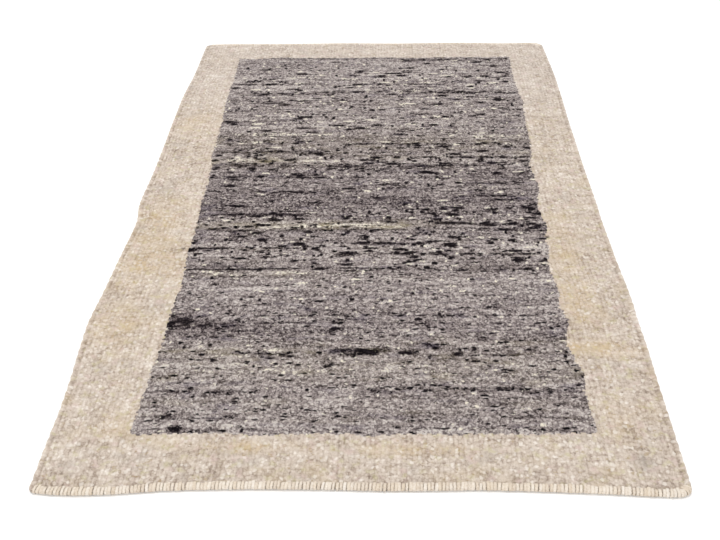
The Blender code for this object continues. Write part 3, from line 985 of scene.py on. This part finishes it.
STREAKS = (
    # from the far end, start and end from the left edge, thickness, how dark (-) or cream (+)
    (0.100, 0.11, 0.46, 0.010, -0.35),
    (0.112, 0.46, 0.70, 0.012, -0.60),
    (0.126, 0.52, 0.71, 0.008, 0.30),
    (0.190, 0.235, 0.26, 0.006, -1.0),
    (0.190, 0.43, 0.47, 0.006, -1.0),
    (0.210, 0.405, 0.435, 0.005, -1.0),
    (0.248, 0.11, 0.30, 0.007, -0.65),
    (0.254, 0.36, 0.56, 0.006, -0.60),
    (0.296, 0.11, 0.71, 0.008, -0.50),
    (0.302, 0.50, 0.70, 0.008, -0.68),
    (0.304, 0.12, 0.28, 0.006, -0.62),
    (0.330, 0.28, 0.36, 0.004, -0.80),
    (0.350, 0.13, 0.28, 0.004, -0.85),
    (0.420, 0.255, 0.285, 0.007, -1.0),
    (0.422, 0.50, 0.56, 0.007, 0.80),
    (0.470, 0.20, 0.60, 0.020, 0.30),
    (0.505, 0.13, 0.35, 0.010, 0.65),
    (0.520, 0.60, 0.70, 0.012, 0.60),
    (0.550, 0.35, 0.65, 0.008, -0.65),
    (0.585, 0.11, 0.34, 0.012, -0.60),
    (0.610, 0.55, 0.70, 0.006, -0.80),
    (0.620, 0.12, 0.35, 0.005, 0.90),
    (0.634, 0.43, 0.46, 0.007, -1.0),
    (0.642, 0.11, 0.71, 0.012, -0.50),
    (0.655, 0.30, 0.50, 0.005, -0.60),
    (0.690, 0.14, 0.40, 0.006, -0.60),
    (0.715, 0.42, 0.68, 0.008, -0.60),
    (0.745, 0.20, 0.38, 0.006, -0.65),
    (0.762, 0.56, 0.70, 0.006, -0.70),
    (0.800, 0.30, 0.60, 0.012, 0.40),
    (0.825, 0.12, 0.30, 0.007, -0.70),
    (0.860, 0.50, 0.72, 0.007, -0.90),
    (0.864, 0.25, 0.43, 0.009, 0.84),
    (0.880, 0.11, 0.70, 0.006, -0.55),
    (0.925, 0.37, 0.50, 0.006, -0.95),
    (0.938, 0.11, 0.30, 0.005, -0.90),
    (0.943, 0.10, 0.125, 0.008, -1.2),
    (0.958, 0.50, 0.70, 0.006, -0.80),
    (0.960, 0.355, 0.385, 0.009, -1.0),
    (1.005, 0.11, 0.71, 0.0035, -0.85),
    (1.016, 0.255, 0.325, 0.008, 0.80),
    (1.018, 0.155, 0.215, 0.007, 0.75),
    (1.135, 0.22, 0.66, 0.0035, -0.70),
    (1.136, 0.095, 0.150, 0.013, -0.66),
    (1.150, 0.095, 0.170, 0.015, -0.70),
    (1.152, 0.150, 0.280, 0.009, -0.52),
    (1.152, 0.22, 0.50, 0.0030, -0.60),
    (1.159, 0.110, 0.230, 0.010, -0.60),
    (1.180, 0.30, 0.66, 0.012, 0.25),
    (1.219, 0.355, 0.39, 0.006, -0.85),
    (1.2215, 0.372, 0.432, 0.010, -1.10),
    (1.226, 0.45, 0.475, 0.007, -0.90),
    (1.230, 0.22, 0.30, 0.005, -0.85),
    (1.233, 0.48, 0.62, 0.004, -0.80),
    (1.262, 0.14, 0.55, 0.018, 0.35),
    (1.285, 0.45, 0.68, 0.014, 0.30),
    (1.310, 0.40, 0.70, 0.009, -0.55),
    (1.315, 0.13, 0.26, 0.006, -0.50),
    (1.367, 0.13, 0.25, 0.008, -0.66),
    (1.390, 0.50, 0.66, 0.004, -0.50),
    (1.392, 0.154, 0.172, 0.009, -1.10),
    (1.394, 0.14, 0.30, 0.005, -0.42),
)
FIELD_PATCHES = (
    # from the left edge, from the far end, reach across, reach along, how much lighter or darker
    (0.470, 0.205, 0.080, 0.020, 0.18),
    (0.190, 0.265, 0.090, 0.032, 0.17),
    (0.400, 0.522, 0.100, 0.014, -0.15),
    (0.170, 0.550, 0.060, 0.040, -0.13),
    (0.700, 0.637, 0.045, 0.018, 0.20),
    (0.460, 0.637, 0.050, 0.016, 0.12),
    (0.410, 0.690, 0.050, 0.018, 0.12),
    (0.620, 0.690, 0.090, 0.012, -0.16),
    (0.200, 0.722, 0.090, 0.012, -0.12),
    (0.620, 0.808, 0.090, 0.012, 0.14),
    (0.480, 0.851, 0.045, 0.018, -0.14),
    (0.240, 0.862, 0.090, 0.014, 0.20),
    (0.660, 0.930, 0.060, 0.035, 0.18),
    (0.410, 0.996, 0.080, 0.011, 0.15),
    (0.620, 0.996, 0.090, 0.011, -0.24),
    (0.150, 1.022, 0.070, 0.020, -0.16),
    (0.650, 1.022, 0.070, 0.020, 0.22),
    (0.390, 1.122, 0.100, 0.014, -0.22),
    (0.120, 1.148, 0.060, 0.026, -0.30),
    (0.455, 1.178, 0.050, 0.015, 0.15),
    (0.190, 1.211, 0.045, 0.018, 0.10),
    (0.290, 1.211, 0.030, 0.014, -0.13),
    (0.470, 1.211, 0.035, 0.014, -0.16),
    (0.585, 1.211, 0.050, 0.018, 0.15),
    (0.115, 1.213, 0.030, 0.014, -0.18),
    (0.620, 1.222, 0.090, 0.010, -0.13),
    (0.200, 1.248, 0.090, 0.011, 0.16),
    (0.410, 1.276, 0.040, 0.015, 0.12),
    (0.250, 1.276, 0.040, 0.015, -0.12),
    (0.620, 1.283, 0.090, 0.009, -0.13),
    (0.620, 1.301, 0.090, 0.009, 0.13),
    (0.520, 1.337, 0.050, 0.018, -0.15),
    (0.190, 1.350, 0.090, 0.010, 0.13),
    (0.440, 1.362, 0.200, 0.009, -0.11),
    (0.620, 1.366, 0.045, 0.018, -0.11),
    (0.250, 1.375, 0.110, 0.040, 0.14),
)
FAWN_RUNS = (
    # from the left edge, from the far end, reach across, reach along, how fawn
    (0.410, 0.530, 0.600, 0.022, 0.16),
    (0.200, 0.622, 0.090, 0.012, 0.70),
    (0.230, 0.864, 0.130, 0.013, 0.75),
    (0.430, 0.864, 0.090, 0.012, 0.60),
    (0.240, 1.018, 0.100, 0.010, 0.30),
    (0.190, 1.232, 0.100, 0.016, 0.16),
)

# Where the streaks waver, break and thin out
STREAK_WAVER = 0.004
STREAK_WAVER_SPAN = (45, 110)
STREAK_LEAD = 0.016
STREAK_BREAK = 0.66
STREAK_BREAK_DEPTH = 0.80
STREAK_BREAK_SPAN = (3, 7)
UNBROKEN_LENGTH = 0.04
STREAK_REACH = 0.05
LEAD_SHARE = 0.6
DARK_HIDES_CREAM = 1.2
LINE_SHARE = 0.75
LINE_FULL = 1.5

# Short runs of odd yarn that chance strews over the field
RUNS_ALONG = (0.09, 1.41)
RUNS_ACROSS = (0.10, 0.70)
TRIES_PER_RUN = 12
SHORTEST_RUN = 0.004
LONGEST_RUN_FAR = 0.028
LONGEST_RUN_LOSS = 0.010
THINNEST_RUN = 0.0030
THICKER_FAR = 1.25
THICKER_LOSS = 0.25
RUN_STRENGTH = (0.85, 1.25)
CHANCE_RUNS = (
    # dark (-1) or cream (1), how many, greatest thickness, column of FIELD_BANDS that says where,
    # and how seldom they are long
    (-1, 760, 0.0056, 2, 3),
    (1, 620, 0.0044, 3, 5),
)


def chance_runs():
    """Runs like those of STREAKS, strewn by chance as thickly as each band has them."""
    runs = []
    for kind, count, thickest, column, shortness in CHANCE_RUNS:
        tries = yarn_chance.uniform(*RUNS_ALONG, TRIES_PER_RUN * count)
        wanted = yarn_chance.random(TRIES_PER_RUN * count) < read_table(FIELD_BANDS, column, tries)
        for far in tries[wanted][:count]:
            start = yarn_chance.uniform(*RUNS_ACROSS)
            longest = LONGEST_RUN_FAR - LONGEST_RUN_LOSS * far
            run_length = SHORTEST_RUN + longest * yarn_chance.random() ** shortness
            thickness = yarn_chance.uniform(THINNEST_RUN, thickest) * (THICKER_FAR - THICKER_LOSS * far)
            strength = kind * yarn_chance.uniform(*RUN_STRENGTH)
            runs.append((far, start, start + run_length, thickness, strength))
    return runs


def streaked_yarn():
    """How dark, how cream, how light and how fawn the yarn is at each point of the cloth."""
    from_far = RUG_LENGTH / 2 - plan_y
    from_left = plan_x + RUG_WIDTH / 2
    wander = STREAK_WAVER * over_cloth(*STREAK_WAVER_SPAN)
    dark = np.zeros_like(plan_x)
    cream = np.zeros_like(plan_x)
    broken = np.clip(STREAK_BREAK + STREAK_BREAK_DEPTH * over_cloth(*STREAK_BREAK_SPAN), 0.0, 1.0)
    for far, start, end, thickness, strength in list(STREAKS) + chance_runs():
        nearby = np.abs(along_rug - (RUG_LENGTH - far)) < STREAK_REACH
        line = np.abs(from_far[nearby] + wander[nearby] - far) / (thickness * LINE_SHARE)
        body = np.clip(LINE_FULL - line, 0, 1)
        lead = min(STREAK_LEAD, LEAD_SHARE * (end - start))
        lead_in = np.clip((from_left[nearby] - start) / lead + 0.5, 0, 1)
        lead_out = np.clip((end - from_left[nearby]) / lead + 0.5, 0, 1)
        amount = abs(strength) * body * np.minimum(lead_in, lead_out)
        if end - start > UNBROKEN_LENGTH:
            amount = amount * broken[nearby]
        target = dark if strength < 0 else cream
        target[nearby] = np.maximum(target[nearby], amount)
    cream *= np.clip(1 - DARK_HIDES_CREAM * dark, 0.0, 1.0)
    row_far = RUG_LENGTH - along_rug
    return {
        "dark_streak": dark,
        "cream_streak": cream,
        "field_tone": read_table(FIELD_BANDS, 1, row_far)[:, None] + patches(FIELD_PATCHES),
        "fawn_share": read_table(FIELD_BANDS, 4, row_far)[:, None] + patches(FAWN_RUNS),
    }


GREY_SHADES = (
    # tone, and the colour there as red, green and blue on a screen
    (0.00, 30, 24, 27),
    (0.20, 71, 62, 64),
    (0.50, 131, 121, 119),
    (0.75, 163, 153, 150),
    (1.00, 197, 189, 183),
)
FAWN_YARN = (150, 140, 108)
MAUVE_YARN = (98, 90, 104)
CREAM_NUB = (206, 198, 183)
CREAM_RUN = (221, 213, 196)
BLACK_YARN = (8, 5, 8)
CHARCOAL_YARN = (30, 24, 29)
GREY_BUMP = 0.0009


def make_grey_wool():
    """Blended grey wool: every float its own grey, with dark and cream runs along the picks, and painted
    shade between the nubs.
    """
    material, tree = new_wool("grey_handspun_wool")
    at = weave_places(tree)
    fibre = cloudy(tree, place_of(tree, *fibre_places(tree)), 620.0, 2.0)

    def run(width, thickness, depth, detail=1.0):
        """Chance that is drawn out along the picks: so many ribs wide, so many floats thick."""
        return cloudy(tree, weave_spot(tree, at, 1 / width, 1 / thickness, depth), 1.0, detail)

    wander = {
        "across": about(tree, at["across"], (run(0.9, 1.2, 71.0), 1.1)),
        "along": about(tree, at["along"], (run(1.1, 0.9, 83.0), 1.0)),
    }

    def cells(width, thickness, depth):
        """Uneven cells of yarn: so many ribs wide, so many floats thick."""
        return nubs(tree, weave_spot(tree, wander, 1 / width, 1 / thickness, depth))

    own_nub, second_nub, third_nub, roundness = cells(0.44, 0.85, 0.0)
    own_lump, _, _, lump_reach = cells(1.5, 1.15, 60.0)
    dash = run(1.3, 0.9, 2.0)
    short_run = run(4.0, 1.6, 5.0)
    long_run = run(12.0, 2.4, 9.0)
    band = run(45.0, 4.5, 14.0, 2.0)
    dark_streak, cream_streak = marked(tree, "dark_streak"), marked(tree, "cream_streak")
    # The roundness term paints shade towards the edges of each nub, where the gaps between nubs lie.
    tone = about(tree, 0.53, (own_nub, 0.60), (own_lump, 0.12), (dash, 0.28), (short_run, 0.38),
                 (long_run, 0.46), (band, 0.50), (fibre, 1.05), (roundness, -0.50))
    tone = plus(tree, tone, marked(tree, "field_tone"), 0.8)
    tone = plus(tree, tone, dark_streak, -0.30)
    tone = plus(tree, tone, cream_streak, 0.10)
    colour = wool_shades(tree, tone, GREY_SHADES)
    fawn = maths(tree, "ADD", rise_between(tree, run(9.0, 5.0, 31.0, 3.0), 0.50, 0.74), 0.30)
    colour = dyed(tree, colour, FAWN_YARN, fawn, marked(tree, "fawn_share"))
    mauve = rise_between(tree, run(7.0, 4.0, 47.0, 2.0), 0.54, 0.76)
    colour = dyed(tree, colour, MAUVE_YARN, mauve, 0.35)

    cream_want = about(tree, plus(tree, second_nub, cream_streak, 0.40), (short_run, 0.9))
    colour = dyed(tree, colour, CREAM_NUB, rise_between(tree, cream_want, 1.04, 1.12), 0.85)
    dark_want = plus(tree, own_lump, dark_streak, 0.52)
    dark_want = about(tree, dark_want, (short_run, -0.7), (long_run, -0.6))
    in_lump = rise_between(tree, lump_reach, 0.62, 0.42)
    dark_lump = times(tree, rise_between(tree, dark_want, 0.91, 0.96), in_lump)
    dark_nub = about(tree, plus(tree, third_nub, dark_streak, 0.40), (short_run, -0.9))
    dark_run = about(tree, dark_streak, (own_nub, 0.90), (dash, 1.1), (fibre, 0.9))
    dark_show = maths(tree, "MAXIMUM", dark_lump, rise_between(tree, dark_nub, 1.05, 1.13))
    dark_show = maths(tree, "MAXIMUM", dark_show, rise_between(tree, dark_run, 0.70, 0.80))
    shine = rise_between(tree, about(tree, fibre, (own_nub, 0.35)), 0.46, 0.74)
    colour = dyed(tree, colour, dyed(tree, BLACK_YARN, CHARCOAL_YARN, shine), dark_show, 0.98)
    cream_run = about(tree, cream_streak, (third_nub, 1.1), (dash, 0.8))
    colour = dyed(tree, colour, CREAM_RUN, rise_between(tree, cream_run, 0.80, 0.92), 0.88)
    wool_finish(tree, colour, yarn_relief(tree, at, fibre, roundness), GREY_BUMP)
    return material


grey_wool = make_grey_wool()
field_marks = streaked_yarn()
field_low, field_high = int(row_has_grey[0]), int(row_has_grey[-1]) + 1
for number, part_name in enumerate(("near", "middle", "far")):
    low = field_low + (field_high - field_low) * number // 3
    high = field_low + (field_high - field_low) * (number + 1) // 3
    part_rows = (row_of_quad >= low) & (row_of_quad < high)
    part, top_points = weave_part("field_" + part_name, in_field & part_rows, grey_wool)
    mark_points(part, top_points, field_marks)


# The far border
# Cream weft again, the same yarn as the near border. It is woven last, from the end of the grey up
# to the bound far end.
weave_border("border_far", cream_quads & (row_of_quad >= far_split))


# The end bindings
# Thick cream two-ply wool, whip-stitched by hand over both cut ends so that the warps can't slip.
# Each stitch starts on top of the cloth, turns over the end and goes back underneath.
GAP = 0.0003
STITCH_PITCH = 0.0044
STITCH_WIDTH = 0.0043
STITCH_THICKNESS = 0.0017
STITCH_LEAN = 0.0006
STITCH_PATH = (
    # distance in from the end, height of the yarn's middle, share of its full thickness
    (0.0112, 0.0049, 0.55),
    (0.0096, 0.0057, 0.85),
    (0.0074, 0.0061, 1.00),
    (0.0048, 0.0061, 1.00),
    (0.0026, 0.0060, 1.00),
    (0.0010, 0.0052, 1.00),
    (0.0004, 0.0038, 1.00),
    (0.0007, 0.0023, 1.00),
    (0.0024, 0.0012, 1.00),
    (0.0052, 0.0010, 1.00),
    (0.0080, 0.0010, 0.80),
)
STITCH_RINGS = len(STITCH_PATH)
STITCH_SIDES = 12
STITCH_TURN = 0.003
STITCH_WAVER = 0.0002
PLY_DIP = 0.16
PLY_DIP_WIDTH = 0.35
THIN_END_WIDTH = 0.72
HEADING_REACH = 0.004
STITCH_VARIES = {
    # how far each stitch strays along the end, in metres, and in share of its own measures
    "place": 0.00025,
    "depth": 0.09,
    "thickness": 0.10,
    "width": 0.08,
    "lean": 0.7,
    "proud": 0.0003,
}
STITCH_SEED = 7
ARC_END = math.radians(78)
END_POINTS = 400
ARC_POINTS = 40

# How the maps of the yarn count: along a stitch, and from one stitch to the next
YARN_PER_RING = 2.4
YARN_PER_STITCH = 31
JUST_UNDER_ONE = 0.999

# Where a stitch and its two cut ends lie on the bake map
BAKE_EDGE = 0.005
BAKE_WIDTH = 0.99
BAKE_SEAM = 0.1
BAKE_FOOT = 0.03
BAKE_LENGTH = 0.94
CAP_LEVELS = ((0, 0.012), (STITCH_RINGS - 1, 0.985))
CAP_WIDTH = 0.42
CAP_HEIGHT = 0.008

stitch_chance = np.random.default_rng(STITCH_SEED)


def end_line(end):
    """Many close points along a bound end, round its right-hand corner, in the rug's frame."""
    start = CORNER_RADIUS[end, LEFT] + GAP
    radius = CORNER_RADIUS[end, RIGHT]
    along = 0.0 if end == NEAR else RUG_LENGTH
    angles = np.linspace(0, ARC_END, ARC_POINTS)
    runs = (
        (LEFT, np.linspace(start, RUG_WIDTH / 2, END_POINTS)),
        (RIGHT, np.linspace(RUG_WIDTH / 2, radius, END_POINTS)[1:]),
        (RIGHT, radius * (1 - np.sin(angles[1:]))),
    )
    xs, ys = [], []
    for side, distance_in in runs:
        x, y = plan_points(side, distance_in, np.full_like(distance_in, along))
        xs.append(x - shift_x)
        ys.append(y - shift_y)
    line = np.stack([np.concatenate(xs), np.concatenate(ys)], 1)
    furthest = np.maximum.accumulate(line[:, 0])
    return line[np.concatenate([[True], line[1:, 0] > furthest[:-1]])]


BINDING_SHADES = (
    # tone, and the colour there as red, green and blue on a screen
    (0.00, 172, 153, 131),
    (0.30, 196, 180, 162),
    (0.55, 212, 200, 186),
    (0.80, 223, 214, 203),
    (1.00, 234, 229, 222),
)
WARM_STITCH = (219, 203, 178)
BINDING_BUMP = 0.0006


def chance(tree, place):
    """Even chance from 0 to 1 for each whole place."""
    node = tree.nodes.new("ShaderNodeTexWhiteNoise")
    node.noise_dimensions = "3D"
    feed(tree, place, node.inputs["Vector"])
    return node.outputs["Value"]


def make_binding_wool():
    """The binding yarn: cream, with its fibres running along each stitch and painted shade at its sides.
    """
    material, tree = new_wool("cream_binding_wool")
    around, along = count_places(tree)
    stitch = maths(tree, "FLOOR", around)
    own_stitch = chance(tree, place_of(tree, stitch, 2.0, 1.0))
    own_tint = chance(tree, place_of(tree, stitch, 5.0, 3.0))
    strand = cloudy(tree, place_of(tree, times(tree, around, 7.0), times(tree, along, 0.25)), 1.0, 3.0)
    fibre = cloudy(tree, place_of(tree, *fibre_places(tree)), 1300.0, 2.0)
    turn = times(tree, around, 2 * math.pi)
    ply = maths(tree, "SINE", plus(tree, turn, along, 1.1))
    shade_at_sides = maths(tree, "COSINE", turn)
    tone = about(tree, 0.60, (own_stitch, 0.36), (strand, 0.9), (fibre, 0.4))
    # Painted shade: each stitch is darker towards its sides, so that it looks round.
    tone = plus(tree, tone, times(tree, shade_at_sides, shade_at_sides), -0.14)
    colour = wool_shades(tree, tone, BINDING_SHADES)
    colour = dyed(tree, colour, WARM_STITCH, own_tint, 0.26)
    raised = plus(tree, plus(tree, strand, ply, 0.35), fibre, 0.5)
    wool_finish(tree, colour, raised, BINDING_BUMP)
    return material


def stitch_points(stitch, middle, run, out, own):
    """Rings of points along one stitch, each ring square to the yarn's path."""
    thick = STITCH_THICKNESS * (1 + own["thickness"])
    wide = STITCH_WIDTH * (1 + own["width"])
    lean = STITCH_LEAN * (1 + own["lean"])
    points = []
    for ring, (distance_in, middle_height, fullness) in enumerate(STITCH_PATH):
        back = STITCH_PATH[max(ring - 1, 0)]
        front = STITCH_PATH[min(ring + 1, STITCH_RINGS - 1)]
        heading = np.array([back[0] - front[0], front[1] - back[1]])
        heading /= np.linalg.norm(heading)
        depth = 1 + own["depth"] if distance_in > STITCH_TURN else 1.0
        share = ring / (STITCH_RINGS - 1)
        side_step = lean * (1 - 2 * share) + STITCH_WAVER * math.sin(3 * ring + stitch)
        for side in range(STITCH_SIDES):
            angle = 2 * math.pi * side / STITCH_SIDES
            width_share = THIN_END_WIDTH + (1 - THIN_END_WIDTH) * fullness
            over = math.cos(angle) * wide / 2 * width_share
            up = math.sin(angle) * thick / 2 * fullness
            up *= 1 - PLY_DIP * math.exp(-(math.cos(angle) / PLY_DIP_WIDTH) ** 2)
            reach_out = abs(own["proud"]) - distance_in * depth - heading[1] * up
            spot = middle + out * reach_out + run * (over + side_step)
            points.append((spot[0], spot[1], max(middle_height + heading[0] * up, 0.0)))
    return points


def stitch_faces(first, stitch, count):
    """The faces of one stitch, with their places on the map of the yarn and on the bake map."""
    faces, weave_uv, bake_uv = [], [], []
    for ring in range(STITCH_RINGS - 1):
        for side in range(STITCH_SIDES):
            a = first + ring * STITCH_SIDES + side
            b = first + ring * STITCH_SIDES + (side + 1) % STITCH_SIDES
            faces.append((a, b, b + STITCH_SIDES, a + STITCH_SIDES))
            for s, r in ((side, ring), (side + 1, ring), (side + 1, ring + 1), (side, ring + 1)):
                weave_uv.append((stitch + s / STITCH_SIDES * JUST_UNDER_ONE,
                                 r * YARN_PER_RING + YARN_PER_STITCH * stitch))
                across = stitch + (s + BAKE_SEAM) / (STITCH_SIDES + 2 * BAKE_SEAM)
                bake_uv.append((BAKE_EDGE + BAKE_WIDTH * across / count,
                                BAKE_FOOT + BAKE_LENGTH * r / (STITCH_RINGS - 1)))
    for ring, level in CAP_LEVELS:
        order = list(range(STITCH_SIDES))
        if ring == 0:
            order.reverse()
        faces.append([first + ring * STITCH_SIDES + side for side in order])
        for side in order:
            angle = 2 * math.pi * side / STITCH_SIDES
            weave_uv.append((stitch + 0.5, ring * YARN_PER_RING + YARN_PER_STITCH * stitch))
            across = stitch + 0.5 + CAP_WIDTH * math.cos(angle)
            bake_uv.append((BAKE_EDGE + BAKE_WIDTH * across / count,
                            level + CAP_HEIGHT * math.sin(angle)))
    return faces, weave_uv, bake_uv


def sew_binding(name, end, node, material):
    """All the stitches of one end, as one piece."""
    line = end_line(end)
    steps = np.linalg.norm(np.diff(line, axis=0), axis=1)
    reach = np.concatenate([[0], np.cumsum(steps)])
    count = round(reach[-1] / STITCH_PITCH)
    places, faces, weave_uv, bake_uv = [], [], [], []
    for stitch in range(count):
        own = {measure: stitch_chance.normal(0, spread) for measure, spread in STITCH_VARIES.items()}
        at = (stitch + 0.5) / count * reach[-1] + own["place"]
        middle, ahead, behind = (
            np.array([np.interp(spot, reach, line[:, axis]) for axis in (0, 1)])
            for spot in (at, at + HEADING_REACH, at - HEADING_REACH)
        )
        run = (ahead - behind) / np.linalg.norm(ahead - behind)
        out = np.array([run[1], -run[0]]) * (1 if end == NEAR else -1)
        made = stitch_faces(len(places), stitch, count)
        places += stitch_points(stitch, middle, run, out, own)
        for whole, own_share in zip((faces, weave_uv, bake_uv), made):
            whole.extend(own_share)
    mesh = bpy.data.meshes.new(name)
    mesh.from_pydata(places, [], faces)
    mesh.update()
    mesh.polygons.foreach_set("use_smooth", [True] * len(faces))
    mesh.uv_layers.new(name="weave").data.foreach_set("uv", np.array(weave_uv).ravel())
    mesh.uv_layers.new(name="OFBake").data.foreach_set("uv", np.array(bake_uv).ravel())
    mesh.materials.append(material)
    piece = bpy.data.objects.new(name, mesh)
    bpy.context.scene.collection.objects.link(piece)
    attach(piece, "root")
    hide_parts(node)


binding_wool = make_binding_wool()
sew_binding("stitches_front", NEAR, "end_binding_front", binding_wool)
sew_binding("stitches_back", FAR, "end_binding_back", binding_wool)


# The studio
# A pale floor, a soft light nearly overhead, a low one in front and an even pale room, with the
# camera standing at the near end and looking down along the rug.
FLOOR_SIZE = 12.0
FLOOR_DROP = 0.0002
CAMERA_PLACE = (0.038, -1.718, 0.920)
CAMERA_YAW = math.radians(1.77)
CAMERA_PITCH = math.radians(32.03)
CAMERA_ROLL = math.radians(-1.03)
CAMERA_LENS = 54.77


def make_floor():
    """The plain pale floor that the rug lies on."""
    material, tree = new_wool("pale_floor")
    shader = tree.nodes["Principled BSDF"]
    shader.inputs["Base Color"].default_value = (0.97, 0.97, 0.97, 1.0)
    shader.inputs["Roughness"].default_value = 0.9
    shader.inputs["Specular IOR Level"].default_value = 0.1
    half = FLOOR_SIZE / 2
    mesh = bpy.data.meshes.new("floor")
    corners = [(-half, -half, -FLOOR_DROP), (half, -half, -FLOOR_DROP),
               (half, half, -FLOOR_DROP), (-half, half, -FLOOR_DROP)]
    mesh.from_pydata(corners, [], [(0, 1, 2, 3)])
    mesh.materials.append(material)
    floor = bpy.data.objects.new("floor", mesh)
    bpy.context.scene.collection.objects.link(floor)


def add_light(name, place, target, size, watts):
    """A large soft light that faces a target."""
    light = bpy.data.lights.new(name, "AREA")
    light.shape = "DISK"
    light.size = size
    light.energy = watts
    holder = bpy.data.objects.new(name, light)
    holder.location = place
    holder.rotation_euler = (Vector(target) - Vector(place)).to_track_quat("-Z", "Y").to_euler()
    bpy.context.scene.collection.objects.link(holder)


make_floor()
add_light("soft_overhead", (-0.4, 0.35, 3.4), (0.0, 0.1, 0.0), 2.6, 75.0)
add_light("soft_front", (0.4, -3.8, 1.2), (0.0, -0.4, 0.1), 3.0, 42.0)

world = bpy.data.worlds.new("pale_room")
world.use_nodes = True
world.node_tree.nodes["Background"].inputs["Color"].default_value = (1.0, 1.0, 1.0, 1.0)
world.node_tree.nodes["Background"].inputs["Strength"].default_value = 0.74
bpy.context.scene.world = world
bpy.context.scene.view_settings.view_transform = "Standard"

lens = bpy.data.cameras.new("camera")
lens.lens = CAMERA_LENS
lens.clip_start = 0.01
camera = bpy.data.objects.new("camera", lens)
forward = Vector((
    -math.sin(CAMERA_YAW) * math.cos(CAMERA_PITCH),
    math.cos(CAMERA_YAW) * math.cos(CAMERA_PITCH),
    -math.sin(CAMERA_PITCH),
))
level_right = forward.cross(Vector((0, 0, 1))).normalized()
level_up = level_right.cross(forward)
right = math.cos(CAMERA_ROLL) * level_right + math.sin(CAMERA_ROLL) * level_up
up = math.cos(CAMERA_ROLL) * level_up - math.sin(CAMERA_ROLL) * level_right
turned = Matrix((right, up, -forward)).transposed().to_4x4()
camera.matrix_world = Matrix.Translation(
    Vector(CAMERA_PLACE) - Vector((shift_x, shift_y, 0.0))) @ turned
bpy.context.scene.collection.objects.link(camera)
bpy.context.scene.camera = camera
